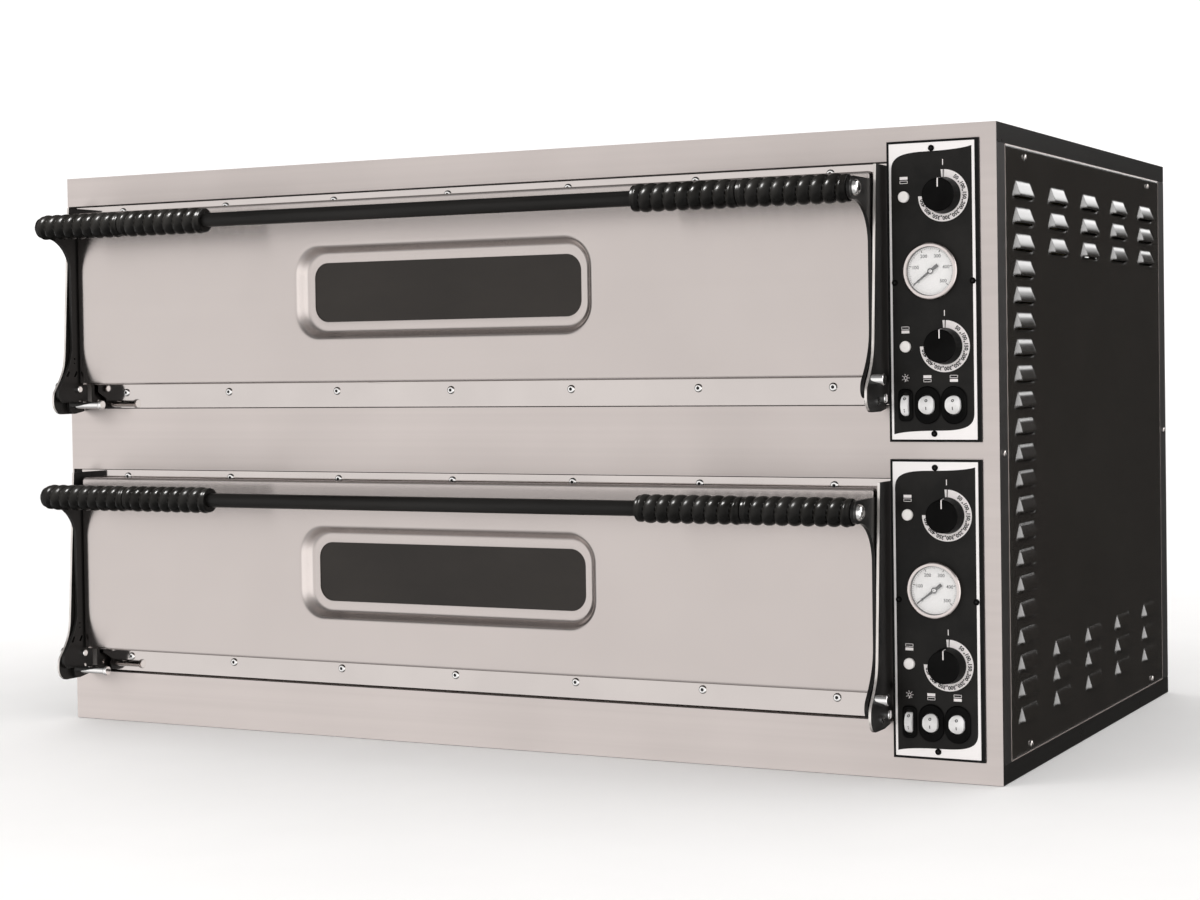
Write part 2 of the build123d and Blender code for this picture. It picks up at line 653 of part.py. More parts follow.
def make_door_arm(bottom):
    """Right-hand bar from the pivot up to the handle rod, outside the door's edge."""
    inner = MIDDLE + DOOR_WIDTH / 2
    pivot = (PIVOT_Y, bottom + PIVOT_RISE)
    rod = (ROD_Y, bottom + ROD_RISE)
    boss = ROD_RADIUS + 4.0
    outline = [
        Line((ARM_REAR, bottom + 22), (ARM_REAR, rod[1] + 8)),
        Line((ARM_REAR, rod[1] + 8), (FRONT - 24, rod[1] + boss)),
        Line((FRONT - 24, rod[1] + boss), (rod[0], rod[1] + boss)),
        ThreePointArc((rod[0], rod[1] + boss), (rod[0] - boss, rod[1]), (rod[0], rod[1] - boss)),
        ThreePointArc((rod[0], rod[1] - boss), (FRONT - 48, bottom + 219),
                      (ARM_FRONT, bottom + 186)),
        Line((ARM_FRONT, bottom + 186), (ARM_FRONT, bottom + 88)),
        Spline((ARM_FRONT, bottom + 88), (FRONT - 41, bottom + 54), (FRONT - 56, bottom + 33),
               (FRONT - 62, bottom + 19), tangents=((0, -1), (0, -1))),
        ThreePointArc((FRONT - 62, bottom + 19), (FRONT - 59, bottom + 12),
                      (FRONT - 52, bottom + 9)),
        Line((FRONT - 52, bottom + 9), (pivot[0], bottom + 9)),
        Line((pivot[0], bottom + 9), (pivot[0] + 8, bottom + 12)),
        Line((pivot[0] + 8, bottom + 12), (ARM_REAR, bottom + 22)),
    ]
    arm = extrude(side_plane(inner) * make_face(outline), ARM_THICKNESS)
    arm += rod_x(inner, inner + ARM_THICKNESS, *pivot, LUG_RADIUS)
    arm -= rod_x(inner - 1, inner + 9, *pivot, PIN_RADIUS + RUNNING_CLEARANCE)
    arm -= rod_x(inner - 1, inner + 9, *rod, ROD_RADIUS)
    for rise in ARM_SCREW_RISES:
        arm -= rod_x(inner - 1, inner + 9, ARM_SCREW_Y, bottom + rise, 2.5)
    for rise in (62.0, 68.0):
        arm -= rod_x(inner - 1, inner + 9, FRONT - 28, bottom + rise, 1.4)
    for y in (-42.0, -26.0):
        slot = side_plane(inner - 1) * Pos(FRONT + y, bottom + 47) * Rot(0, 0, 55)
        arm -= extrude(slot * SlotOverall(10, 4), 9)
    arm -= rod_x(inner - 1, inner + 9, *bolt_place(bottom), 3.0)
    return arm


def make_arm_screws(bottom):
    """Right-hand arm's button screws, and the bolt below the door's edge."""
    inner = MIDDLE + DOOR_WIDTH / 2
    outer = inner + ARM_THICKNESS
    screws = []
    for rise in ARM_SCREW_RISES:
        head = rod_x(outer, outer + 1.2, ARM_SCREW_Y, bottom + rise, 4.8)
        head = fillet(head.edges().sort_by(Axis.X)[-1], 0.9)
        screws.append(head + rod_x(inner - 3, outer, ARM_SCREW_Y, bottom + rise, 2.5))
    bolt = rod_x(inner - 4, inner, *bolt_place(bottom), 4.6)
    bolt = fillet(bolt.edges().sort_by(Axis.X)[0], 1.2)
    screws.append(bolt + rod_x(inner, outer, *bolt_place(bottom), 3.0))
    return screws


def make_handle_rod(bottom):
    """Rod through both arms, with a domed nut on each end."""
    z = bottom + ROD_RISE
    end = ARM_OUTER
    rod = rod_x(MIDDLE - end, MIDDLE + end, ROD_Y, z, ROD_RADIUS)
    for side in (-1, 1):
        tip = MIDDLE + side * (end + 7)
        nut = rod_x(MIDDLE + side * end, tip, ROD_Y, z, ROD_RADIUS)
        rim = nut.edges().filter_by(GeomType.CIRCLE).sort_by(Axis.X)[-1 if side > 0 else 0]
        rod += fillet(rim, 5.5)
    return rod


def make_grip_sleeve(x0, length, z):
    """Ribbed sleeve on the handle rod."""
    pitch = length / GRIP_RIBS
    edges = [Line((0, ROD_RADIUS), (0, GRIP_ROOT_RADIUS))]
    for rib in range(GRIP_RIBS):
        start = (rib * pitch, GRIP_ROOT_RADIUS)
        top = ((rib + 0.5) * pitch, GRIP_CREST_RADIUS)
        end = ((rib + 1) * pitch, GRIP_ROOT_RADIUS)
        edges.append(ThreePointArc(start, top, end))
    edges.append(Line((length, GRIP_ROOT_RADIUS), (length, ROD_RADIUS)))
    edges.append(Line((length, ROD_RADIUS), (0, ROD_RADIUS)))
    sleeve = revolve(make_face(edges), Axis.X)
    return Pos(x0, ROD_Y, z) * sleeve


def make_grips(bottom):
    z = bottom + ROD_RISE
    sleeve_gap = 0.6
    length = GRIP_LENGTH / 2 - sleeve_gap
    outer = MIDDLE + DOOR_WIDTH / 2
    right = [make_grip_sleeve(outer - GRIP_LENGTH / 2 + sleeve_gap / 2, length, z),
             make_grip_sleeve(outer - GRIP_LENGTH + sleeve_gap / 2, length, z)]
    return right + [mirrored(sleeve) for sleeve in right]


# ---------------------------------------------------------------- control panel
KNOB_BASE_RADIUS = 20.5
KNOB_FACE_RADIUS = 18.8
KNOB_BACK = PLATE_FACE - 0.8
KNOB_LENGTH = 19.0
SPINDLE_RADIUS = 3.0
BUSH_RADIUS = 5.0
THERMOSTAT_FACE = FRONT + 14.0
BEZEL_RADIUS = 32.5
CASE_RADIUS = 30.0
DIAL_Y = PLATE_FACE - 1.5
NEEDLE_Y = PLATE_FACE - 3.2
LENS_Y = PLATE_FACE - 5.0
NEEDLE_REST = 218.0              # direction of the needle at its lowest reading, from +X
LAMP_LENS_RADIUS = 6.5
ROCKER_TILT = 7.0
ROCKER_PIVOT_Y = PLATE_FACE - 0.5
HOUSING_PROUD = 3.0
MAIN_BEZEL = (30.0, 43.0, 14.9)
MAIN_CAP = (17.5, 21.0, 8.7)
LIGHT_BEZEL = (17.0, 37.0, 6.0)
LIGHT_CAP = (8.6, 25.0, 4.25)


def plate_point(deck, place):
    across, up = place
    return PLATE_LEFT + across, PLATE_BOTTOMS[deck] + up


def switches(deck):
    """Name, centre, bezel shape and cap shape of each rocker switch of one deck."""
    rows = [("light", LIGHT_SWITCH, LIGHT_BEZEL, LIGHT_CAP)]
    for name, place in MAIN_SWITCHES.items():
        rows.append((name, place, MAIN_BEZEL, MAIN_CAP))
    return [(name, plate_point(deck, place), bezel, cap) for name, place, bezel, cap in rows]


def body_shape(cap):
    """Switch body behind the plate: the cap's outline grown on all sides."""
    width, height, radius = grown(cap, 2.0)
    return (width, height + 4.0, min(radius, 2.0))


def make_control_plate(deck):
    bottom = PLATE_BOTTOMS[deck]
    plate = block(PLATE_LEFT, PLATE_LEFT + PLATE_WIDTH, PLATE_FACE, FRONT,
                  bottom, bottom + PLATE_HEIGHT)
    for across, up in PLATE_SCREWS:
        plate -= rod_y(PLATE_LEFT + across, PLATE_FACE - 1, FRONT + 1, bottom + up, 1.8)
    for place in KNOBS.values():
        x, z = plate_point(deck, place)
        plate -= rod_y(x, PLATE_FACE - 1, FRONT + 1, z, BUSH_RADIUS)
    for place in LAMPS:
        x, z = plate_point(deck, place)
        plate -= rod_y(x, PLATE_FACE - 1, FRONT + 1, z, 5.0)
    x, z = plate_point(deck, THERMOMETER)
    plate -= rod_y(x, PLATE_FACE - 1, FRONT + 1, z, CASE_RADIUS)
    for name, (x, z), bezel, cap in switches(deck):
        plate -= rounded_prism(x, z, PLATE_FACE - 1, FRONT + 1, body_shape(cap))
    return plate


def make_thermostat(deck, place):
    """Capillary thermostat: body, and the bush its spindle turns in."""
    x, z = plate_point(deck, place)
    body = block(x - 20, x + 20, THERMOSTAT_FACE, THERMOSTAT_FACE + 32, z - 24, z + 24)
    body += rod_y(x, PLATE_FACE, THERMOSTAT_FACE, z, BUSH_RADIUS)
    body -= rod_y(x, PLATE_FACE - 1, THERMOSTAT_FACE + 20, z, SPINDLE_RADIUS + RUNNING_CLEARANCE)
    return body


def make_knob(deck, place):
    """Tapered knob with a pointer groove, and the spindle pressed into it."""
    x, z = plate_point(deck, place)
    face = KNOB_BACK - KNOB_LENGTH
    centre = Pos(x, KNOB_BACK - KNOB_LENGTH / 2, z) * Rot(90, 0, 0)
    knob = centre * Cone(KNOB_BASE_RADIUS, KNOB_FACE_RADIUS, KNOB_LENGTH)
    knob = fillet(knob.edges().sort_by(Axis.Y)[0], 1.5)
    knob -= block(x - 0.8, x + 0.8, face - 1, face + 0.8, z + 8, z + KNOB_BASE_RADIUS)
    knob -= rod_y(x, KNOB_BACK - 14, KNOB_BACK + 1, z, SPINDLE_RADIUS)
    spindle = rod_y(x, KNOB_BACK - 14, THERMOSTAT_FACE + 18, z, SPINDLE_RADIUS)
    return knob, spindle


def make_thermometer_case(deck):
    """Flanged can behind the plate with the white dial at its bottom."""
    x, z = plate_point(deck, THERMOMETER)
    bezel_front = PLATE_FACE - 7.0
    case = rod_y(x, PLATE_FACE, FRONT + 12, z, CASE_RADIUS)
    bezel = rod_y(x, bezel_front, PLATE_FACE, z, BEZEL_RADIUS)
    bezel = fillet(bezel.edges().sort_by(Axis.Y)[0], 2.5)
    case += bezel
    case -= rod_y(x, LENS_Y, DIAL_Y, z, BEZEL_RADIUS - 3.5)
    case -= rod_y(x, bezel_front - 1, LENS_Y, z, BEZEL_RADIUS - 4.5)
    case -= rod_y(x, DIAL_Y - 1, DIAL_Y + 6, z, 1.0 + RUNNING_CLEARANCE)
    return case


def make_thermometer_glass(deck):
    x, z = plate_point(deck, THERMOMETER)
    return rod_y(x, LENS_Y - 1.5, LENS_Y, z, BEZEL_RADIUS - 4.5)


def make_needle(deck):
    """Pointer with a short counterweight tail, on a round spindle."""
    x, z = plate_point(deck, THERMOMETER)
    thin = 0.6
    outline = Polyline((-11, 1.5), (-3, 1.0), (25, 0.4), (25, -0.4), (-3, -1.0), (-11, -1.5),
                       close=True)
    blade = extrude(make_face(outline), thin) + extrude(Circle(2.6), thin)
    blade = front_plane(x, NEEDLE_Y, z) * Rot(0, 0, NEEDLE_REST) * blade
    return blade + rod_y(x, NEEDLE_Y, DIAL_Y + 5, z, 1.0)


def make_pilot_lamp(x, z):
    lens = rod_y(x, PLATE_FACE - 4.0, PLATE_FACE, z, LAMP_LENS_RADIUS)
    lens = fillet(lens.edges().sort_by(Axis.Y)[0], 2.0)
    return lens + rod_y(x, PLATE_FACE, FRONT + 24, z, 5.0)


def make_switch_housing(x, z, bezel, cap):
    """Bezel on the plate and the body behind it, with a well for the rocker."""
    housing = rounded_prism(x, z, PLATE_FACE - HOUSING_PROUD, PLATE_FACE, bezel)
    housing = chamfer(housing.faces().sort_by(Axis.Y)[0].edges(), 1.2)
    housing += rounded_prism(x, z, PLATE_FACE, FRONT + 26, body_shape(cap))
    width, height, radius = grown(cap, 0.5)
    well = (width, height + 3.0, min(radius, width / 2 - 0.1))
    housing -= rounded_prism(x, z, PLATE_FACE - HOUSING_PROUD - 1, PLATE_FACE + 8, well)
    for side in (-1, 1):
        housing -= rod_x(x + side * (width / 2 - 0.5), x + side * (width / 2 + 1.2),
                         ROCKER_PIVOT_Y, z, 1.0 + RUNNING_CLEARANCE)
    return housing


def make_rocker(x, z, cap):
    """Tilting cap on a cross pin, at rest tilted to its off side."""
    width, height, radius = cap
    front = PLATE_FACE - HOUSING_PROUD - 4.5
    rocker = rounded_prism(x, z, front, PLATE_FACE + 2.0, cap)
    crown = rod_x(x - width, x + width, ROCKER_PIVOT_Y + 6.0, z, ROCKER_PIVOT_Y + 6.0 - front)
    rocker = rocker & crown
    rocker += rod_x(x - width / 2 - 1.4, x + width / 2 + 1.4, ROCKER_PIVOT_Y, z, 1.0)
    pivot = Pos(0, ROCKER_PIVOT_Y, z)
    return pivot * Rot(-ROCKER_TILT, 0, 0) * Pos(0, -ROCKER_PIVOT_Y, -z) * rocker


def make_plate_screws():
    screws = []
    for bottom in PLATE_BOTTOMS.values():
        for across, up in PLATE_SCREWS:
            screws.append(dome_screw_y(PLATE_LEFT + across, PLATE_FACE, bottom + up,
                                       head_radius=3.6, head_height=2.0, shank_radius=1.8,
                                       length=8.0))
    return screws


# ---------------------------------------------------------------- electrics and services
RAIL_Z = 200.0


def make_switchgear():
    """Mounting rail on the rear panel, two contactors and the terminal block."""
    x0 = RIGHT - 122.0
    x1 = RIGHT - 24.0
    rail_y = BACK - SHEET - 7.5
    rail = block(x0, x1, rail_y, BACK - SHEET, RAIL_Z - 17.5, RAIL_Z + 17.5)
    rail -= block(x0 - 1, x1 + 1, rail_y - 1, rail_y + 6, RAIL_Z - 12.5, RAIL_Z + 12.5)
    solids = [rail]
    for n in range(2):
        left = x0 + 4 + n * 46
        body = block(left, left + 45, rail_y - 70, rail_y, RAIL_Z - 40, RAIL_Z + 40)
        body -= block(left - 1, left + 46, rail_y - 71, rail_y - 50, RAIL_Z + 24, RAIL_Z + 41)
        body -= block(left - 1, left + 46, rail_y - 71, rail_y - 50, RAIL_Z - 41, RAIL_Z - 24)
        solids.append(body)
    terminal = block(x0 + 4, x0 + 84, BACK - SHEET - 24, BACK - SHEET, 120, 146)
    for n in range(5):
        terminal -= Pos(x0 + 12 + n * 16, BACK - SHEET - 20, 133) * Cylinder(2.5, 40)
    solids.append(terminal)
    return solids


def cable(points, radius):
    path = Spline(*points)
    start = Plane(origin=path @ 0, z_dir=path % 0)
    return sweep(start * Circle(radius), path)


def make_wiring():
    """Loom from the contactors forward to the thermostats and the switches."""
    trunk_x = RIGHT - 30.0
    contactor_front = BACK - SHEET - 7.5 - 70.0
    front = THERMOSTAT_FACE + 35.0
    loom = []
    runs = [place for deck in DECKS for place in
            (plate_point(deck, KNOBS["top_heat"]), plate_point(deck, KNOBS["floor_heat"]))]
    for n, (x, z) in enumerate(runs):
        spread = 7.0 * n
        loom.append(cable([(x, front, z), (trunk_x - spread, front + 90, z * 0.6 + 100),
                           (trunk_x - spread, front + 330, 260 + spread),
                           (RIGHT - 112 + 24 * n, contactor_front - 6, RAIL_Z)], 2.6))
    return loom


def make_cable_gland():
    body = rod_y(GLAND_X, BACK - 12, BACK + 14, GLAND_Z, GLAND_RADIUS)
    flange = front_plane(GLAND_X, BACK + 6, GLAND_Z) * RegularPolygon(GLAND_RADIUS + 5, 6)
    body += extrude(flange, 6)
    cap = rod_y(GLAND_X, BACK + 14, BACK + REAR_PROUD, GLAND_Z, GLAND_RADIUS - 1)
    body += fillet(cap.edges().sort_by(Axis.Y)[-1], 3.0)
    return body - rod_y(GLAND_X, BACK - 13, BACK + 30, GLAND_Z, 7.0)


def make_mains_cable():
    """Supply cable from the terminal block out through the gland and down to the bench."""
    path = FilletPolyline((GLAND_X, BACK - 60, GLAND_Z), (GLAND_X, BACK + REAR_PROUD + 16, GLAND_Z),
                          (GLAND_X, BACK + REAR_PROUD + 16, 6.0), radius=15)
    start = Plane(origin=path @ 0, z_dir=path % 0)
    return sweep(start * Circle(6.8), path)


def make_steam_vent(bottom):
    z = bottom + VENT_RISE
    pipe = rod_y(VENT_X, LINER_BACK - SHEET, BACK + REAR_PROUD, z, VENT_RADIUS)
    pipe += rod_y(VENT_X, BACK, BACK + 2, z, VENT_RADIUS + 10)
    return pipe - rod_y(VENT_X, LINER_BACK - 10, BACK + REAR_PROUD + 10, z, VENT_RADIUS - 1.5)


# ---------------------------------------------------------------- assembly
def make_casing():
    keep("front_fascia", make_front_fascia())
    keep("base_tray", tray(0, FLANGE))
    keep("top_cover", tray(HEIGHT, HEIGHT - FLANGE))
    keep("side_panel_right", make_side_panel(1, True))
    keep("side_panel_left", make_side_panel(-1, False))
    keep("rear_panel", make_rear_panel())
    keep("chassis_frame", make_chassis_frame())
    keep("casing_screws", *make_casing_screws())


def make_chambers():
    bottoms = list(DECKS.values())
    keep("chamber_liners", *[make_chamber_liner(b) for b in bottoms])
    keep("chamber_rails", *[solid for b in bottoms for solid in make_chamber_rails(b)])
    keep("chamber_front_frames", *[make_front_frame(b) for b in bottoms])
    keep("front_frame_screws", *make_front_frame_screws())
    keep("chamber_insulation", *[make_insulation(b) for b in bottoms])
    keep("stone_floor_tiles", *[tile for b in bottoms for tile in make_stones(b)])
    keep("heating_elements", *[make_heater(bay, b + rise) for b in bottoms
                               for bay in range(BAYS) for rise in (FLOOR_HEATER, CEILING_HEATER)])
    keep("chamber_lamps", *[solid for b in bottoms for solid in make_lamp(b)])
    keep("lamp_glasses", *[make_lamp_glass(b) for b in bottoms])


def make_hinges():
    right_cheeks = [make_cheek(b) for b in DECKS.values()]
    right_pins = []
    left_pins = []
    for bottom in DECKS.values():
        right_pins.append(make_hinge_pin(bottom, RIGHT_PIN_INWARD))
        right_pins.append(make_cheek_stud(bottom, STOP_STUD, STOP_STUD_LENGTH))
        right_pins.append(make_cheek_stud(bottom, CHEEK_BOLT, CHEEK_BOLT_LENGTH))
        left_pins.append(make_hinge_pin(bottom, LEFT_PIN_INWARD))
        left_pins.append(make_cheek_stud(bottom, STOP_STUD, CHEEK_BOLT_LENGTH))
        left_pins.append(make_cheek_stud(bottom, CHEEK_BOLT, CHEEK_BOLT_LENGTH))
    keep("hinge_cheeks_right", *right_cheeks)
    keep("hinge_cheeks_left", *[mirrored(cheek) for cheek in right_cheeks])
    keep("hinge_pins", *right_pins, *[mirrored(pin) for pin in left_pins])


def make_doors():
    for deck, bottom in DECKS.items():
        arm = make_door_arm(bottom)
        screws = make_arm_screws(bottom)
        keep(f"{deck}_door_skin", make_door_skin(bottom))
        keep(f"{deck}_door_liner", make_door_liner(bottom))
        keep(f"{deck}_door_glass", *make_door_glass(bottom))
        keep(f"{deck}_door_insulation", make_door_insulation(bottom))
        keep(f"{deck}_door_arms", arm, mirrored(arm))
        keep(f"{deck}_door_screws", *screws, *[mirrored(screw) for screw in screws])
        keep(f"{deck}_handle_rod", make_handle_rod(bottom))
        keep(f"{deck}_handle_grips", *make_grips(bottom))


def make_controls():
    keep("control_plates", *[make_control_plate(deck) for deck in DECKS])
    keep("control_plate_screws", *make_plate_screws())
    keep("pilot_lamps", *[make_pilot_lamp(*plate_point(deck, place))
                          for deck in DECKS for place in LAMPS])
    keep("thermometer_cases", *[make_thermometer_case(deck) for deck in DECKS])
    keep("thermometer_glasses", *[make_thermometer_glass(deck) for deck in DECKS])
    keep("thermostats", *[make_thermostat(deck, place) for deck in DECKS
                          for place in KNOBS.values()])
    keep("switch_housings", *[make_switch_housing(x, z, bezel, cap) for deck in DECKS
                              for name, (x, z), bezel, cap in switches(deck)])
    for deck in DECKS:
        keep(f"{deck}_thermometer_needle", make_needle(deck))
        for name, place in KNOBS.items():
            keep(f"{deck}_{name}_knob", *make_knob(deck, place))
        for name, (x, z), bezel, cap in switches(deck):
            keep(f"{deck}_{name}_rocker", make_rocker(x, z, cap))


def make_electrics():
    keep("switchgear", *make_switchgear())
    keep("wiring", *make_wiring())
    keep("cable_gland", make_cable_gland())
    keep("mains_cable", make_mains_cable())
    keep("steam_vents", *[make_steam_vent(b) for b in DECKS.values()])


def flat_solids(shapes):
    return [solid for shape in shapes for solid in shape.solids()]


make_casing()
make_chambers()
make_hinges()
make_doors()
make_controls()
make_electrics()

os.makedirs("parts", exist_ok=True)
for node, shapes in parts.items():
    solids = flat_solids(shapes)
    whole = solids[0] if len(solids) == 1 else Compound(children=solids)
    export_step(whole, f"parts/{node}.step")
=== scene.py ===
import math

import bpy
from mathutils import Matrix, Vector


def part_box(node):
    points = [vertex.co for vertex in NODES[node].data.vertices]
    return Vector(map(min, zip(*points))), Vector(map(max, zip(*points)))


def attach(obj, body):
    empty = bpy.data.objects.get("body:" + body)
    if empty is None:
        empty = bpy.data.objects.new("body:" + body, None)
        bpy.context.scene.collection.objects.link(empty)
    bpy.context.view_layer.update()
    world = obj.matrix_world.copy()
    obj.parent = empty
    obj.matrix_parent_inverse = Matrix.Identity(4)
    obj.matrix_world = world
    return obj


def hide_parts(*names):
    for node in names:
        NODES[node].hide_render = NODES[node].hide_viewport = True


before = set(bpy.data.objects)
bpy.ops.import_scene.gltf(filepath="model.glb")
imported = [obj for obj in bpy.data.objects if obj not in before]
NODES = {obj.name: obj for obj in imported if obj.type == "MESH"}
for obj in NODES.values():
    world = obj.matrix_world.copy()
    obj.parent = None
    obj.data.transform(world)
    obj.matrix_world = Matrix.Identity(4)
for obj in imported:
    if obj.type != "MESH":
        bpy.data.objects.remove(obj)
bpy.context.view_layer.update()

# Looks for a double-deck countertop pizza oven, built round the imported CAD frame.
# Blender works in metres. Sizes named here are in millimetres and go through mm(), except that a
# material's radii and depths are in metres, and its texture scales are per metre.

DECKS = ("lower", "upper")


def mm(value):
    return value * 0.001


# -------- places taken from the frame
def box_mm(node):
    low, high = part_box(node)
    return low * 1000, high * 1000


fascia_low, fascia_high = box_mm("front_fascia")
LEFT, FRONT, BASE = fascia_low
RIGHT = fascia_high.x
PLATE_WIDTH = 108.0
PLATE_HEIGHT = 341.0
plates_low, plates_high = box_mm("control_plates")
PLATE_LEFT = plates_low.x
PLATE_FACE = plates_low.y
PLATE_BOTTOM = {"lower": plates_low.z, "upper": plates_high.z - PLATE_HEIGHT}

# Places on a control plate, from its lower left corner
KNOB_PLACES = {"top_heat": (66.5, 278.0), "floor_heat": (66.5, 108.0)}
LAMP_PLACES = ((20.0, 278.0), (20.0, 108.0))
THERMOMETER_PLACE = (51.4, 193.0)
SWITCH_PLACES = {"light": (19.6, 41.5), "top_heat": (45.5, 41.5), "floor_heat": (76.8, 41.5)}


def plate_point(deck, place):
    return PLATE_LEFT + place[0], PLATE_BOTTOM[deck] + place[1]


# -------- node helpers
class NodeTree:
    """Short helpers for the nodes of a material or of the world."""

    def __init__(self, tree):
        self.tree = tree

    def node(self, kind, **properties):
        made = self.tree.nodes.new(kind)
        for key, value in properties.items():
            setattr(made, key, value)
        return made

    def put(self, socket, value):
        if isinstance(value, bpy.types.NodeSocket):
            self.tree.links.new(value, socket)
        elif isinstance(value, tuple) and len(value) == 3 and socket.type == "RGBA":
            socket.default_value = (*value, 1.0)
        else:
            socket.default_value = value

    def maths(self, operation, first, second=0.0):
        made = self.node("ShaderNodeMath", operation=operation)
        self.put(made.inputs[0], first)
        self.put(made.inputs[1], second)
        return made.outputs[0]

    def product(self, *values):
        result = values[0]
        for value in values[1:]:
            result = self.maths("MULTIPLY", result, value)
        return result

    def dot(self, first, second):
        made = self.node("ShaderNodeVectorMath", operation="DOT_PRODUCT")
        self.put(made.inputs[0], first)
        self.put(made.inputs[1], second)
        return made.outputs["Value"]

    def axes(self, vector):
        made = self.node("ShaderNodeSeparateXYZ")
        self.put(made.inputs[0], vector)
        return tuple(made.outputs)

    def spread(self, value, low, high, start=0.35, stop=0.65, kind="LINEAR"):
        """Maps start..stop to low..high; the defaults suit a noise texture."""
        ramp = self.node("ShaderNodeMapRange", interpolation_type=kind)
        numbers = {"Value": value, "From Min": start, "From Max": stop, "To Min": low,
                   "To Max": high}
        for name, number in numbers.items():
            self.put(ramp.inputs[name], number)
        return ramp.outputs["Result"]

    def step_in(self, value, low, high):
        """1 between low and high, else 0."""
        return self.product(self.maths("GREATER_THAN", value, low),
                            self.maths("LESS_THAN", value, high))


class Shader(NodeTree):
    """A node material on object coordinates. Its lengths are in metres."""

    SURFACE_INPUTS = {
        "colour": "Base Color", "metal": "Metallic", "rough": "Roughness",
        "specular": "Specular IOR Level", "coat": "Coat Weight", "coat_rough": "Coat Roughness",
        "alpha": "Alpha", "stretch": "Anisotropic", "tangent": "Tangent",
    }
    EDGE_SHARPNESS = 6.0

    def __init__(self, name):
        self.material = bpy.data.materials.new(name)
        self.material.use_nodes = True
        super().__init__(self.material.node_tree)
        self.bsdf = self.tree.nodes["Principled BSDF"]
        self.coordinates = self.node("ShaderNodeTexCoord").outputs["Object"]

    def noise(self, stretch, scale, detail, roughness):
        mapping = self.node("ShaderNodeMapping")
        self.put(mapping.inputs["Vector"], self.coordinates)
        mapping.inputs["Scale"].default_value = stretch
        noise = self.node("ShaderNodeTexNoise")
        self.put(noise.inputs["Vector"], mapping.outputs["Vector"])
        self.put(noise.inputs["Scale"], scale)
        self.put(noise.inputs["Detail"], detail)
        self.put(noise.inputs["Roughness"], roughness)
        return noise.outputs["Fac"]

    def cloud(self, scale, detail=3.0, roughness=0.55):
        """Noise that is alike in every direction."""
        return self.noise((1, 1, 1), scale, detail, roughness)

    def grain(self, stretch, detail=2.0, roughness=0.55):
        """Noise with its own scale along X, Y and Z."""
        return self.noise(stretch, 1.0, detail, roughness)

    def cells(self, scale):
        voronoi = self.node("ShaderNodeTexVoronoi", feature="F1")
        self.put(voronoi.inputs["Vector"], self.coordinates)
        self.put(voronoi.inputs["Scale"], scale)
        return voronoi.outputs["Distance"]

    def mix(self, factor, first, second):
        mix = self.node("ShaderNodeMix", data_type="RGBA")
        self.put(mix.inputs["Factor"], factor)
        self.put(mix.inputs[6], first)
        self.put(mix.inputs[7], second)
        return mix.outputs[2]

    def blend(self, texture, first, second, most=1.0, start=0.35, stop=0.65):
        """From the first colour towards the second, as far as most, where the texture rises."""
        return self.mix(self.spread(texture, 0.0, most, start, stop), first, second)

    def mix_value(self, factor, first, second):
        mix = self.node("ShaderNodeMix", data_type="FLOAT")
        self.put(mix.inputs["Factor"], factor)
        self.put(mix.inputs[2], first)
        self.put(mix.inputs[3], second)
        return mix.outputs[0]

    def normal(self, kind="Normal"):
        return self.node("ShaderNodeNewGeometry").outputs[kind]

    def rounded_normal(self, radius, samples):
        bevel = self.node("ShaderNodeBevel", samples=samples)
        self.put(bevel.inputs["Radius"], radius)
        return bevel.outputs["Normal"]

    def edges(self, radius):
        """1 on sharp edges, 0 on flat faces."""
        flatness = self.dot(self.rounded_normal(radius, 4), self.normal())
        away = self.maths("SUBTRACT", 1.0, flatness)
        return self.maths("MINIMUM", self.product(away, self.EDGE_SHARPNESS), 1.0)

    def bump(self, height, strength, distance, soft=0.0):
        """Bumps; soft is the radius over which pressed edges are shaded round."""
        bump = self.node("ShaderNodeBump")
        if soft:
            self.put(bump.inputs["Normal"], self.rounded_normal(soft, 8))
        self.put(bump.inputs["Strength"], strength)
        self.put(bump.inputs["Distance"], distance)
        self.put(bump.inputs["Height"], height)
        self.put(self.bsdf.inputs["Normal"], bump.outputs["Normal"])

    def smear_upright(self, stretch):
        """Draws reflections out along Z, as brushing along X does."""
        upright = self.node("ShaderNodeCombineXYZ")
        upright.inputs["Z"].default_value = 1.0
        self.surface(stretch=stretch, tangent=upright.outputs[0])

    def surface(self, **values):
        for key, value in values.items():
            self.put(self.bsdf.inputs[self.SURFACE_INPUTS[key]], value)
        return self.material


def tinted(colour, factor, lift=0.0):
    return tuple(min(c * factor + lift, 1.0) for c in colour)


# -------- metals
def brushed_steel(name, colour, rough, along, depth, variation, gloss_grain=0.0, stretch=0.0):
    """Sheet brushed along X; along is the scale of its grain on each axis."""
    look = Shader(name)
    fine = look.grain(along, 3.0, 0.6)
    streak = look.grain(tuple(a * 0.12 for a in along))
    cloud = look.cloud(5.0)
    dark = tinted(colour, 1 - variation)
    light = tinted(colour, 1 + variation)
    tone = look.blend(streak, dark, light)
    tone = look.blend(cloud, tone, dark, 0.35)
    look.bump(fine, depth, 0.00008)
    gloss = look.maths("ADD", look.spread(cloud, rough * 0.95, rough * 1.05),
                       look.spread(fine, -gloss_grain, gloss_grain))
    if stretch:
        look.smear_upright(stretch)
    return look.surface(colour=tone, metal=1.0, rough=gloss)


FASCIA_COLOUR = (0.585, 0.530, 0.508)
OPENING_SHADE_LINE = 0.9                   # width of the painted shade line round the door openings, for the shadow at their cut edges
OPENING_MARGINS = (3.0, 128.5)   # from the fascia's left and right edges
OPENING_RISES = (67.0, 428.5)
OPENING_HEIGHT = 277.0


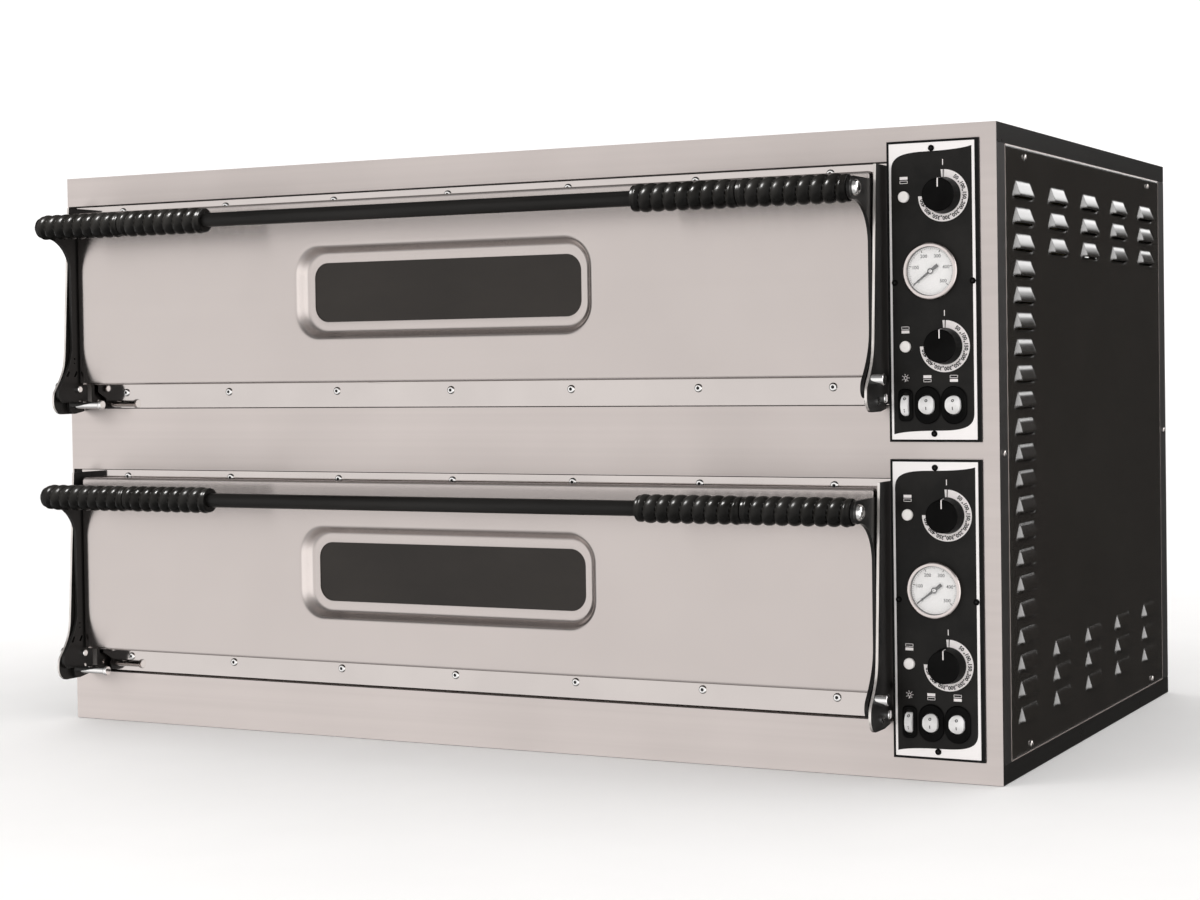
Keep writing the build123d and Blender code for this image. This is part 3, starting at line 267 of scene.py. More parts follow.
def fascia_steel():
    """Brushed front sheet; its cut edges and a thin line round the door openings are painted dark as
    shade.
    """
    look = Shader("fascia_steel")
    fine = look.grain((4, 900, 900), 3.0, 0.6)
    streak = look.grain((0.5, 108, 108))
    cloud = look.cloud(5.0)
    tone = look.blend(streak, tinted(FASCIA_COLOUR, 1.09), tinted(FASCIA_COLOUR, 1.13))
    across, _, up = look.axes(look.coordinates)
    in_width = look.step_in(across, mm(LEFT + OPENING_MARGINS[0] - OPENING_SHADE_LINE),
                            mm(RIGHT - OPENING_MARGINS[1] + OPENING_SHADE_LINE))
    # painted shade: faces that do not face forward, such as the cut edges and the side return, are
    # coloured near black
    facing = look.maths("ABSOLUTE", look.axes(look.normal("True Normal"))[1])
    dark = look.maths("LESS_THAN", facing, 0.5)
    # painted shade: a thin dark line round the door openings, for the shadow at their edges
    for rise in OPENING_RISES:
        low = BASE + rise - OPENING_SHADE_LINE
        high = BASE + rise + OPENING_HEIGHT + OPENING_SHADE_LINE
        opening_shade = look.product(in_width, look.step_in(up, mm(low), mm(high)))
        dark = look.maths("MAXIMUM", dark, opening_shade)
    look.bump(fine, 0.05, 0.00008)
    look.smear_upright(0.8)
    return look.surface(colour=look.mix(dark, tone, (0.05, 0.045, 0.042)), metal=1.0,
                        rough=look.spread(cloud, 0.34, 0.38))


def polished_steel(name, colour, rough):
    look = Shader(name)
    cloud = look.cloud(9.0)
    tone = look.blend(cloud, colour, tinted(colour, 0.95))
    look.bump(look.grain((6, 700, 700)), 0.02, 0.00005)
    return look.surface(colour=tone, metal=1.0, rough=look.spread(cloud, rough * 0.75, rough * 1.3))


def satin_plate():
    """Pale satin surface of the control plates."""
    look = Shader("plate_satin")
    cloud = look.cloud(9.0)
    tone = look.blend(cloud, (0.86, 0.83, 0.82), (0.90, 0.87, 0.86))
    look.bump(look.grain((6, 300, 300)), 0.02, 0.00005)
    return look.surface(colour=tone, metal=0.35, rough=look.spread(cloud, 0.34, 0.40))


def liner_sheet():
    """Aluminised sheet, heat-tinted in patches."""
    look = Shader("liner_sheet")
    spangle = look.cells(60.0)
    tint = look.cloud(4.0, 4.0)
    tone = look.blend(spangle, (0.34, 0.33, 0.31), (0.48, 0.47, 0.45), 1.0, 0.0, 1.0)
    tone = look.blend(tint, tone, (0.36, 0.27, 0.16), 0.55)
    look.bump(spangle, 0.05, 0.0002)
    return look.surface(colour=tone, metal=0.9, rough=look.spread(tint, 0.32, 0.48))


def element_sheath():
    """Heater tube, oxidised dark with bluish and brown patches."""
    look = Shader("element_sheath")
    heat = look.cloud(30.0, 5.0, 0.65)
    tone = look.blend(heat, (0.045, 0.038, 0.035), (0.13, 0.10, 0.085))
    look.bump(look.cloud(900.0), 0.3, 0.0001)
    return look.surface(colour=tone, metal=0.8, rough=look.spread(heat, 0.35, 0.6))


# -------- paints, plastics and prints
def enamel(name, colour, rough, specular=0.4, peel=0.06, edge_lighten=0.12):
    """Stove-enamelled sheet: fine orange peel, faint dust, and edges lightened in patches, partly as
    bare wear and partly as painted highlight.
    """
    look = Shader(name)
    dust = look.cloud(12.0, 6.0, 0.65)
    tone = look.blend(dust, colour, tinted(colour, 1.0, 0.006), 0.3, 0.4, 0.75)
    edge_wear_and_highlight = look.spread(look.cloud(160.0), 0.0, edge_lighten, 0.35, 0.6)
    # edges lightened towards grey in noisy patches: partly bare wear, partly a painted highlight
    # along the edges
    tone = look.mix(look.product(look.edges(0.0009), edge_wear_and_highlight), tone, (0.22, 0.20, 0.19))
    look.bump(look.cloud(900.0, 2.0), peel, 0.0001)
    return look.surface(colour=tone, rough=look.spread(dust, rough * 0.97, rough * 1.04, 0.3, 0.7),
                        specular=specular)


FOLD_HIGHLIGHT_LINE = 1.1                # width of the painted highlight line round the side panel's folded border


def side_enamel():
    """Gloss black panel with a painted highlight line round its folded border, where the rounded
    fold would catch the light.
    """
    look = Shader("side_panel_enamel")
    dust = look.cloud(10.0, 6.0, 0.65)
    low, high = box_mm("side_panel_right")
    _, along, up = look.axes(look.coordinates)
    inside = look.product(
        look.step_in(along, mm(low.y + FOLD_HIGHLIGHT_LINE), mm(high.y - FOLD_HIGHLIGHT_LINE)),
        look.step_in(up, mm(low.z + FOLD_HIGHLIGHT_LINE), mm(high.z - FOLD_HIGHLIGHT_LINE)))
    black = look.blend(dust, (0.019, 0.0165, 0.014), (0.025, 0.022, 0.019), 0.6, 0.4, 0.75)
    look.bump(look.cloud(900.0, 2.0), 0.03, 0.00005, soft=0.005)
    # the pale border colour is a painted highlight, standing in for light caught by the rounded fold
    return look.surface(colour=look.mix(inside, (0.44, 0.375, 0.345), black),
                        rough=look.mix_value(inside, 0.45, look.spread(dust, 0.07, 0.11, 0.3, 0.7)),
                        specular=0.5)


def cheek_paint():
    """Satin black plate with a bare cut edge facing forward."""
    look = Shader("cheek_paint")
    bare = look.maths("LESS_THAN", look.axes(look.normal())[1], -0.5)
    black = look.blend(look.cloud(30.0, 4.0), (0.009, 0.0085, 0.008), (0.014, 0.013, 0.012))
    edge = look.blend(look.grain((500, 500, 6)), (0.60, 0.56, 0.53), (0.82, 0.78, 0.75))
    look.bump(look.cloud(1200.0, 2.0), 0.15, 0.0001)
    return look.surface(colour=look.mix(bare, black, edge), metal=look.product(bare, 0.8),
                        rough=look.mix_value(bare, 0.38, 0.35), specular=0.2)


def handle_rod_finish():
    """Black rod; the domed nuts outside the arms are chromed."""
    look = Shader("handle_rod_finish")
    arms_low, arms_high = box_mm("upper_door_arms")
    middle = (arms_low.x + arms_high.x) / 2
    reach = (arms_high.x - arms_low.x) / 2
    across = look.axes(look.coordinates)[0]
    away = look.maths("ABSOLUTE", look.maths("SUBTRACT", across, mm(middle)))
    nut = look.maths("GREATER_THAN", away, mm(reach + 0.1))
    cloud = look.grain((3, 40, 40), 4.0)
    black = look.blend(cloud, (0.008, 0.0075, 0.007), (0.018, 0.017, 0.016))
    look.bump(look.grain((200, 900, 900)), 0.08, 0.0001)
    return look.surface(colour=look.mix(nut, black, (0.88, 0.87, 0.86)), metal=nut,
                        rough=look.mix_value(nut, look.spread(cloud, 0.26, 0.36), 0.16),
                        specular=0.12)


def moulded(name, colour, rough, grain=1400.0, depth=0.25, specular=0.5, edge_lighten=0.3):
    """Moulded plastic: fine grain, slight polish on the edges people touch."""
    look = Shader(name)
    cloud = look.cloud(24.0, 5.0, 0.6)
    light = tinted(colour, 1.6, 0.004)
    edge = look.edges(0.0008)
    tone = look.blend(cloud, colour, light, 0.7)
    tone = look.mix(look.product(edge, edge_lighten), tone, light)
    look.bump(look.cloud(grain, 2.0), depth, 0.00006)
    gloss = look.mix_value(edge, look.spread(cloud, rough * 0.85, rough * 1.2), rough * 0.7)
    return look.surface(colour=tone, rough=gloss, specular=specular)


def ink(name, colour, rough=0.45):
    """Screen-printed ink with slightly uneven cover."""
    look = Shader(name)
    cover = look.cloud(700.0)
    tone = look.blend(cover, colour, tinted(colour, 0.93))
    look.bump(cover, 0.05, 0.00003)
    return look.surface(colour=tone, rough=look.spread(cover, rough * 0.9, rough * 1.1),
                        specular=0.4)


def overlay_film():
    """Black polyester film of the control plate: faint grain and smudges."""
    look = Shader("overlay_film")
    smudge = look.cloud(25.0, 5.0, 0.6)
    tone = look.blend(smudge, (0.008, 0.0075, 0.007), (0.015, 0.014, 0.013))
    look.bump(look.cloud(1500.0, 2.0), 0.08, 0.00004)
    return look.surface(colour=tone, rough=look.spread(smudge, 0.28, 0.42), specular=0.12)


def milky_lens():
    look = Shader("milky_lens")
    tone = look.blend(look.cloud(120.0), (0.88, 0.85, 0.82), (0.95, 0.92, 0.90))
    return look.surface(colour=tone, rough=0.22, coat=0.3, coat_rough=0.05)


# -------- glass, stone and wool
def smoked_glass():
    """Dark heat-proof pane with a faint warm haze."""
    look = Shader("smoked_glass")
    haze = look.noise((1, 1, 2), 6.0, 4.0, 0.55)
    tone = look.blend(haze, (0.014, 0.0105, 0.008), (0.021, 0.0165, 0.013), 1.0, 0.3, 0.7)
    return look.surface(colour=tone, rough=look.spread(haze, 0.035, 0.07), specular=0.28, coat=0.05,
                        coat_rough=0.02)


def clear_glass():
    """Thin clear cover: mostly transparent, with a soft reflection."""
    look = Shader("clear_glass")
    return look.surface(colour=(0.9, 0.9, 0.9), rough=look.spread(look.cloud(60.0), 0.02, 0.05),
                        alpha=0.10, specular=0.5)


def fired_stone():
    """Refractory tile: pale body, pores, scorched patches."""
    look = Shader("fired_stone")
    grain = look.cloud(420.0, 6.0, 0.7)
    scorch = look.cloud(9.0, 6.0, 0.6)
    pores = look.spread(look.cells(340.0), 0.0, 1.0, 0.0, 0.25)
    tone = look.blend(grain, (0.46, 0.37, 0.27), (0.66, 0.57, 0.45))
    tone = look.blend(scorch, tone, (0.16, 0.10, 0.06), 0.7, 0.5, 0.75)
    tone = look.mix(look.maths("SUBTRACT", 1.0, pores), tone, (0.20, 0.15, 0.11))
    look.bump(look.maths("ADD", grain, pores), 0.5, 0.0004)
    return look.surface(colour=tone, rough=0.9, specular=0.2)


def mineral_wool():
    look = Shader("mineral_wool")
    fibre = look.grain((60, 900, 60), 5.0, 0.7)
    tone = look.blend(fibre, (0.30, 0.24, 0.10), (0.58, 0.50, 0.27))
    tone = look.blend(look.cloud(40.0, 4.0), tone, (0.25, 0.20, 0.09), 0.5)
    look.bump(fibre, 0.8, 0.001)
    return look.surface(colour=tone, rough=0.95, specular=0.1)


# -------- finishes of the nodes
DEEP_BLACK = (0.0012, 0.0011, 0.0010)
FINISHES = {
    "fascia": fascia_steel(),
    "door": brushed_steel("door_steel", (0.585, 0.532, 0.510), 0.24, (2, 350, 350), 0.001, 0.004,
                          stretch=0.97),
    "zinc": brushed_steel("zinc_sheet", (0.50, 0.50, 0.50), 0.45, (4, 900, 900), 0.05, 0.03,
                          gloss_grain=0.018),
    "strip": polished_steel("strip_steel", (0.59, 0.545, 0.525), 0.08),
    "chrome": polished_steel("chrome", (0.86, 0.85, 0.84), 0.12),
    "dull_screw": polished_steel("dull_screw", (0.50, 0.47, 0.45), 0.30),
    "bezel": polished_steel("bezel_steel", (0.66, 0.60, 0.58), 0.14),
    "plate": satin_plate(),
    "liner": liner_sheet(),
    "element": element_sheath(),
    "enamel": enamel("black_enamel", (0.013, 0.012, 0.011), 0.28),
    "post": enamel("post_enamel", (0.020, 0.018, 0.017), 0.38, specular=0.5),
    "arm": enamel("arm_paint", (0.009, 0.0085, 0.008), 0.28, specular=0.2, peel=0.08, edge_lighten=0.3),
    "side": side_enamel(),
    "cheek": cheek_paint(),
    "rod": handle_rod_finish(),
    "grip": moulded("grip_plastic", (0.0035, 0.0032, 0.0028), 0.26, depth=0.08, specular=0.10,
                    edge_lighten=0.2),
    "knob": moulded("knob_plastic", DEEP_BLACK, 0.42, depth=0.15, specular=0.05),
    "housing": moulded("switch_plastic", DEEP_BLACK, 0.42, specular=0.05),
    "rocker": moulded("rocker_plastic", (0.66, 0.65, 0.64), 0.25, depth=0.05, edge_lighten=0.1),
    "box": moulded("contactor_plastic", (0.52, 0.51, 0.47), 0.4, depth=0.15),
    "cable": moulded("cable_rubber", (0.012, 0.012, 0.012), 0.5, grain=500.0),
    "seal": moulded("seal_rubber", (0.004, 0.004, 0.004), 0.6, specular=0.12),
    "white_ink": ink("white_ink", (0.84, 0.80, 0.79)),
    "black_ink": ink("black_ink", (0.010, 0.010, 0.010)),
    "dial": ink("dial_face", (0.90, 0.89, 0.88), 0.35),
    # painted shade for the inside of screw sockets
    "socket": ink("socket_shadow", (0.006, 0.006, 0.006), 0.6),
    "overlay": overlay_film(),
    "lens": milky_lens(),
    "smoked": smoked_glass(),
    "clear": clear_glass(),
    "stone": fired_stone(),
    "wool": mineral_wool(),
}

NODES_WITH_FINISH = {
    "fascia": ["front_fascia"],
    "enamel": ["base_tray", "top_cover", "rear_panel"],
    "side": ["side_panel_right", "side_panel_left"],
    "post": ["chassis_frame"],
    "cheek": ["hinge_cheeks_right", "hinge_cheeks_left"],
    "chrome": ["casing_screws", "front_frame_screws", "hinge_pins"],
    "strip": ["chamber_front_frames"],
    "liner": ["chamber_liners", "chamber_rails"],
    "wool": ["chamber_insulation"],
    "stone": ["stone_floor_tiles"],
    "element": ["heating_elements"],
    "zinc": ["chamber_lamps", "thermostats", "steam_vents"],
    "clear": ["lamp_glasses", "thermometer_glasses"],
    "plate": ["control_plates"],
    "housing": ["control_plate_screws", "switch_housings", "cable_gland"],
    "lens": ["pilot_lamps"],
    "bezel": ["thermometer_cases"],
    "box": ["switchgear"],
    "cable": ["wiring", "mains_cable"],
}
DECK_PARTS_WITH_FINISH = {
    "door": ["door_skin"],
    "liner": ["door_liner"],
    "smoked": ["door_glass"],
    "wool": ["door_insulation"],
    "arm": ["door_arms"],
    "chrome": ["door_screws"],
    "rod": ["handle_rod"],
    "grip": ["handle_grips"],
    "black_ink": ["thermometer_needle"],
    "knob": ["top_heat_knob", "floor_heat_knob"],
    "rocker": ["light_rocker", "top_heat_rocker", "floor_heat_rocker"],
}


def paint(node_name, finish):
    materials = NODES[node_name].data.materials
    materials.clear()
    materials.append(FINISHES[finish])


def paint_nodes():
    for finish, names in NODES_WITH_FINISH.items():
        for name in names:
            paint(name, finish)
    for finish, parts in DECK_PARTS_WITH_FINISH.items():
        for part in parts:
            for deck in DECKS:
                paint(f"{deck}_{part}", finish)


# -------- mesh helpers
SMOOTH_ANGLE = math.radians(35)


def link(thing):
    bpy.context.scene.collection.objects.link(thing)


def points_inward(points, faces):
    """True if a closed shell's volume comes out negative."""
    volume = 0.0
    origin = Vector(points[0])
    for face in faces:
        corners = [Vector(points[i]) - origin for i in face]
        for second, third in zip(corners[1:], corners[2:]):
            volume += corners[0].dot(second.cross(third))
    return volume < 0


class Piece:
    """Collects points in millimetres and faces, then becomes a mesh that rides on a body."""

    def __init__(self):
        self.points = []
        self.faces = []

    def add(self, points, faces):
        """Adds a closed shell, with its faces turned outward."""
        if points_inward(points, faces):
            faces = [face[::-1] for face in faces]
        start = len(self.points)
        self.points += points
        self.faces += [tuple(start + i for i in face) for face in faces]

    def make(self, name, finish, body, smooth=False, instead_of=None):
        mesh = bpy.data.meshes.new(name)
        mesh.from_pydata([tuple(mm(c) for c in point) for point in self.points], [], self.faces)
        mesh.validate()
        mesh.update()
        if smooth:
            mesh.shade_smooth()
            mesh.set_sharp_from_angle(angle=SMOOTH_ANGLE)
        mesh.materials.append(FINISHES[finish])
        thing = bpy.data.objects.new(name, mesh)
        link(thing)
        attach(thing, body)
        if instead_of:
            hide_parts(instead_of)


def loft_faces(rings, count, closed_ends=False, cyclic=False):
    """Quads between consecutive rings of count points each."""
    faces = []
    last = rings if cyclic else rings - 1
    for ring in range(last):
        near = ring * count
        far = ((ring + 1) % rings) * count
        for i in range(count):
            j = (i + 1) % count
            faces.append((near + i, near + j, far + j, far + i))
    if closed_ends:
        faces.append(tuple(reversed(range(count))))
        faces.append(tuple(range((rings - 1) * count, rings * count)))
    return faces


def smoother(t):
    """0..1 to 0..1 with level ends."""
    return t * t * t * (t * (t * 6 - 15) + 10)


# -------- door skins
SKIN_SHEET = 1.2
SKIN_CORNER = 5.0
FOLD_RADIUS = 4.0
FOLD_STEPS = 5
FOLD_MARGIN = 8.0                # from the door's edge to the last flat outline
FOLD_INSIDE = 0.4                # share of the sheet by which the fold's inside lies deeper
WINDOW_RISE = 116.5              # window centre above the door's lower edge
RECESS_DEPTH = 15.0
SLOPE_STEPS = 10
CORNER_STEPS = 10
SIDE_STEPS = 6
RING_COUNT = 4 * (CORNER_STEPS + SIDE_STEPS)

# Outlines: half width, half height and corner radius
GLASS_OUTLINE = (195.0, 38.0, 20.0)
RECESS_INNER = (201.5, 48.0, 27.0)
RECESS_OUTER = (219.0, 62.0, 38.0)


def grown(outline, margin):
    return tuple(size + margin for size in outline)


def shrunk(outline):
    """The inside of the fold, one sheet in from the outside."""
    width, height, corner = grown(outline, -SKIN_SHEET)
    return width, height, max(corner, 0.5)


def rounded_ring(centre, outline, y):
    """Closed outline with round corners at depth y, with points on its straight sides too."""
    half_width, half_height, radius = outline
    corners = []
    for quarter, (sx, sz) in enumerate(((1, 1), (-1, 1), (-1, -1), (1, -1))):
        x = centre[0] + sx * (half_width - radius)
        z = centre[1] + sz * (half_height - radius)
        corner = []
        for step in range(CORNER_STEPS + 1):
            angle = math.radians(90 * (quarter + step / CORNER_STEPS))
            corner.append((x + radius * math.cos(angle), y, z + radius * math.sin(angle)))
        corners.append(corner)
    points = []
    for corner, next_corner in zip(corners, corners[1:] + corners[:1]):
        points += corner
        for step in range(1, SIDE_STEPS):
            points.append(tuple(a + (b - a) * step / SIDE_STEPS
                                for a, b in zip(corner[-1], next_corner[0])))
    return points


def window_outlines(face_y):
    """Outlines and depths from the glass's edge up the dished slope to the flat face."""
    floor_y = face_y + RECESS_DEPTH
    rings = [(GLASS_OUTLINE, floor_y + 0.7), (grown(GLASS_OUTLINE, 0.2), floor_y + 0.2),
             (grown(GLASS_OUTLINE, 0.8), floor_y), (grown(RECESS_INNER, -1.5), floor_y)]
    for step in range(SLOPE_STEPS + 1):
        t = step / SLOPE_STEPS
        outline = tuple(a + (b - a) * t for a, b in zip(RECESS_INNER, RECESS_OUTER))
        rings.append((outline, floor_y + (face_y - floor_y) * smoother(t)))
    return rings + [(grown(RECESS_OUTER, 3.0), face_y), (grown(RECESS_OUTER, 24.0), face_y)]


def border_outlines(half_width, half_height, face_y, rear_y):
    """Outlines and depths from the flat face round the fold to the rear edge."""
    rings = [((half_width - FOLD_MARGIN, half_height - FOLD_MARGIN, SKIN_CORNER), face_y)]
    for step in range(FOLD_STEPS + 1):
        angle = math.radians(90 * step / FOLD_STEPS)
        inset = FOLD_RADIUS * (1 - math.sin(angle))
        drop = FOLD_RADIUS * (1 - math.cos(angle))
        corner = max(SKIN_CORNER - inset, 1.0)
        rings.append(((half_width - inset, half_height - inset, corner), face_y + drop))
    return rings + [((half_width, half_height, SKIN_CORNER), rear_y)]


def make_door_skin(deck):
    """Pressed sheet: dished window with soft edges, folded outer edges, one closed shell."""
    low, high = box_mm(f"{deck}_door_skin")
    x = (low.x + high.x) / 2
    door_centre = (x, (low.z + high.z) / 2)
    window_centre = (x, low.z + WINDOW_RISE)
    window = window_outlines(low.y)
    window_back = [(outline, min(y, low.y + RECESS_DEPTH) + SKIN_SHEET) for outline, y in window]
    border = border_outlines((high.x - low.x) / 2, (high.z - low.z) / 2, low.y, high.y)
    border_back = [(shrunk(outline), y + SKIN_SHEET * FOLD_INSIDE) for outline, y in border[:-1]]
    border_back.append((shrunk(border[-1][0]), high.y))
    points = []
    for centre, rings in ((window_centre, window), (door_centre, border),
                          (door_centre, border_back[::-1]), (window_centre, window_back[::-1])):
        for outline, y in rings:
            points += rounded_ring(centre, outline, y)
    skin = Piece()
    skin.add(points, loft_faces(len(points) // RING_COUNT, RING_COUNT, cyclic=True))
    skin.make(f"{deck}_door_skin_pressed", "door", f"{deck}_door", smooth=True,
              instead_of=f"{deck}_door_skin")


# -------- handle grips
GRIP_SLEEVE = 134.0
GRIP_GAP = 0.4                   # between two sleeves
GRIP_RIBS = 8
GRIP_AROUND = 44
RIB_STEPS = 14
GRIP_CREST = 17.0
GRIP_ROOT = 12.6
GRIP_COLLAR = 4.0                # plain length at each end of a sleeve
COLLAR_RADIUS = 15.8
COLLAR_ROUND = 1.6               # rounding of the collar's outer edge
COLLAR_STATIONS = (0.0, 0.5, 1.6, 3.2)
RIB_RUN_IN = 5.0                 # length over which the ribs rise, from inside the collar
RIB_RUN_START = 3.0


def grip_radius(along, turn, length):
    """Radius of a twisted-rib sleeve; turn is 0..1 round it."""
    pitch = (length - 2 * GRIP_COLLAR) / GRIP_RIBS
    phase = ((along - GRIP_COLLAR) / pitch + turn) % 1.0
    lobe = math.sqrt(max(1 - (2 * phase - 1) ** 2, 0.0))
    ribbed = GRIP_ROOT + (GRIP_CREST - GRIP_ROOT) * lobe
    end = min(along, length - along)
    blend = smoother(min(max((end - RIB_RUN_START) / RIB_RUN_IN, 0.0), 1.0))
    radius = COLLAR_RADIUS + (ribbed - COLLAR_RADIUS) * blend
    if end < COLLAR_ROUND:
        radius -= COLLAR_ROUND - math.sqrt(max(COLLAR_ROUND ** 2 - (COLLAR_ROUND - end) ** 2, 0.0))
    return radius


def grip_sleeve(build, start, length, y, z, bore):
    """Twisted-rib sleeve along X with a plain collar at each end."""
    steps = GRIP_RIBS * RIB_STEPS
    ribbed_length = length - 2 * GRIP_COLLAR
    stations = list(COLLAR_STATIONS)
    stations += [GRIP_COLLAR + ribbed_length * i / steps for i in range(steps + 1)]
    stations += [length - station for station in reversed(COLLAR_STATIONS)]
    turns = [k / GRIP_AROUND for k in range(GRIP_AROUND)]
    rings = [(s, [grip_radius(s, turn, length) for turn in turns]) for s in stations]
    rings += [(s, [bore] * GRIP_AROUND) for s in (length, 0.0)]
    points = []
    for along, radii in rings:
        for turn, radius in zip(turns, radii):
            angle = 2 * math.pi * turn
            points.append((start + along, y + radius * math.cos(angle),
                           z + radius * math.sin(angle)))
    build.add(points, loft_faces(len(rings), GRIP_AROUND, cyclic=True))


def make_grips(deck):
    low, high = box_mm(f"{deck}_handle_grips")
    rod_low, rod_high = box_mm(f"{deck}_handle_rod")
    y = (low.y + high.y) / 2
    z = (low.z + high.z) / 2
    bore = (rod_high.z - rod_low.z) / 2
    build = Piece()
    for start in (low.x, low.x + GRIP_SLEEVE, high.x - 2 * GRIP_SLEEVE, high.x - GRIP_SLEEVE):
        grip_sleeve(build, start + GRIP_GAP / 2, GRIP_SLEEVE - GRIP_GAP, y, z, bore)
    build.make(f"{deck}_twisted_grips", "grip", f"{deck}_door", smooth=True,
               instead_of=f"{deck}_handle_grips")


# -------- screws
SCREW_AROUND = 24
DOME_STEPS = 6
SHANK_LENGTH = 3.0


def side_and_up(outward):
    side = outward.cross(Vector((0, 0, 1))).normalized()
    return side, side.cross(outward)


def screw_head(build, centre, outward, radius, height, socket):
    """Dome head with a hexagon socket; outward is the unit direction of the head."""
    side, up = side_and_up(outward)
    shank = radius * 0.45
    rim = socket * 1.25
    rings = [(shank, -SHANK_LENGTH, False), (shank, 0.0, False), (radius * 0.98, 0.0, False)]
    for step in range(DOME_STEPS + 1):
        angle = math.radians(90 * step / DOME_STEPS)
        reach = rim + (radius - rim) * math.cos(angle)
        rings.append((reach, height * (0.15 + 0.85 * math.sin(angle)), False))
    rings.append((socket * 1.05, height, True))
    rings.append((socket, height * 0.94, True))
    rings.append((socket * 0.97, height * 0.25, True))
    points = []
    for reach, rise, hexagonal in rings:
        for k in range(SCREW_AROUND):
            angle = 2 * math.pi * k / SCREW_AROUND
            scale = 1.0
            if hexagonal:
                local = (angle + math.pi / 6) % (math.pi / 3) - math.pi / 6
                scale = math.cos(math.pi / 6) / math.cos(local)
            spoke = side * (reach * scale * math.cos(angle)) + up * (reach * scale * math.sin(angle))
            points.append(tuple(centre + spoke + outward * rise))
    build.add(points, loft_faces(len(rings), SCREW_AROUND, closed_ends=True))


def socket_shade_disc(build, centre, outward, reach, rise):
    """Dark hexagonal disc inside a screw's socket: painted shade at the bottom of the socket."""
    side, up = side_and_up(outward)
    points = []
    for depth in (rise - 0.3, rise):
        for k in range(6):
            angle = math.radians(60 * k + 30)
            spoke = side * (reach * math.cos(angle)) + up * (reach * math.sin(angle))
            points.append(tuple(centre + spoke + outward * depth))
    build.add(points, loft_faces(2, 6, closed_ends=True))


def solids_of(node):
    """Boxes in millimetres of a node's separate solids, from its connected vertices."""
    mesh = NODES[node].data
    parent = list(range(len(mesh.vertices)))

    def root(i):
        while parent[i] != i:
            parent[i] = parent[parent[i]]
            i = parent[i]
        return i

    seen = {}
    for vertex in mesh.vertices:
        key = tuple(round(c, 6) for c in vertex.co)
        first = seen.setdefault(key, vertex.index)
        parent[root(vertex.index)] = root(first)
    for edge in mesh.edges:
        parent[root(edge.vertices[0])] = root(edge.vertices[1])
    groups = {}
    for vertex in mesh.vertices:
        groups.setdefault(root(vertex.index), []).append(vertex.co * 1000)
    boxes = []
    for coordinates in groups.values():
        low = Vector([min(c[i] for c in coordinates) for i in range(3)])
        high = Vector([max(c[i] for c in coordinates) for i in range(3)])
        boxes.append((low, high))
    return sorted(boxes, key=lambda box: tuple(round(c, 3) for c in box[0]))


def make_screws(node, plain_radius, radius, height, socket, finish):
    """Replaces a node of plain dome screws by screws with sockets, in the same places, with painted
    shade in each socket.
    """
    heads = Piece()
    shade_discs = Piece()
    for low, high in solids_of(node):
        centre = (low + high) / 2
        outward = Vector((0, 0, 0))
        if abs(high.x - low.x - 2 * plain_radius) < 0.5:
            outward.y = math.copysign(1, centre.y)
            centre.y = (high.y - height) if centre.y > 0 else (low.y + height)
        else:
            outward.x = math.copysign(1, centre.x)
            centre.x = (high.x - height) if centre.x > 0 else (low.x + height)
        screw_head(heads, centre, outward, radius, height, socket)
        # a dark disc in each socket: painted shade
        socket_shade_disc(shade_discs, centre, outward, socket * 1.1, height * 0.6)
    heads.make(f"socket_{node}", finish, "root", smooth=True, instead_of=node)
    shade_discs.make(f"painted_socket_shade_{node}", "socket", "root")


# -------- flat prints and film
FILM = 0.2                       # thickness of film and prints


def flat_outline(build, outline, y, thickness=FILM):
    """Thin closed slab standing proud of depth y, from an outline of (x, z) points."""
    points = [(px, depth, pz) for depth in (y, y - thickness) for px, pz in outline]
    build.add(points, loft_faces(2, len(outline), closed_ends=True))


def bar_outline(x, z, width, height):
    return [(x + sx * width / 2, z + sz * height / 2)
            for sx, sz in ((-1, -1), (1, -1), (1, 1), (-1, 1))]


def polar(x, z, radius, turn):
    """Point at a radius round (x, z); turn is in degrees clockwise from the top."""
    angle = math.radians(turn)
    return x + radius * math.sin(angle), z + radius * math.cos(angle)


def spoke_outline(x, z, turn, near, far, half):
    """Short line that points away from (x, z)."""
    s = math.sin(math.radians(turn))
    c = math.cos(math.radians(turn))
    return [(x + reach * s + side * c, z + reach * c - side * s)
            for reach, side in ((near, -half), (near, half), (far, half), (far, -half))]


def band_section(inner, outer, y, thickness):
    return ((outer, y), (outer, y - thickness), (inner, y - thickness), (inner, y))


def ring_band(build, x, z, inner, outer, start, stop, y, steps=72):
    """Arc band between two radii; angles in degrees clockwise from the top."""
    points = []
    for step in range(steps + 1):
        for radius, depth in band_section(inner, outer, y, FILM):
            px, pz = polar(x, z, radius, start + (stop - start) * step / steps)
            points.append((px, depth, pz))
    build.add(points, loft_faces(steps + 1, 4, closed_ends=True))


def closed_ring(build, x, z, inner, outer, y, thickness=FILM, steps=64):
    """Full flat ring."""
    points = []
    for radius, depth in band_section(inner, outer, y, thickness):
        for step in range(steps):
            angle = 2 * math.pi * step / steps
            points.append((x + radius * math.cos(angle), depth, z + radius * math.sin(angle)))
    build.add(points, loft_faces(4, steps, cyclic=True))


def disc(build, x, z, radius, y, thickness, steps):
    angles = [2 * math.pi * i / steps for i in range(steps)]
    outline = [(x + radius * math.cos(angle), z + radius * math.sin(angle)) for angle in angles]
    flat_outline(build, outline, y, thickness)


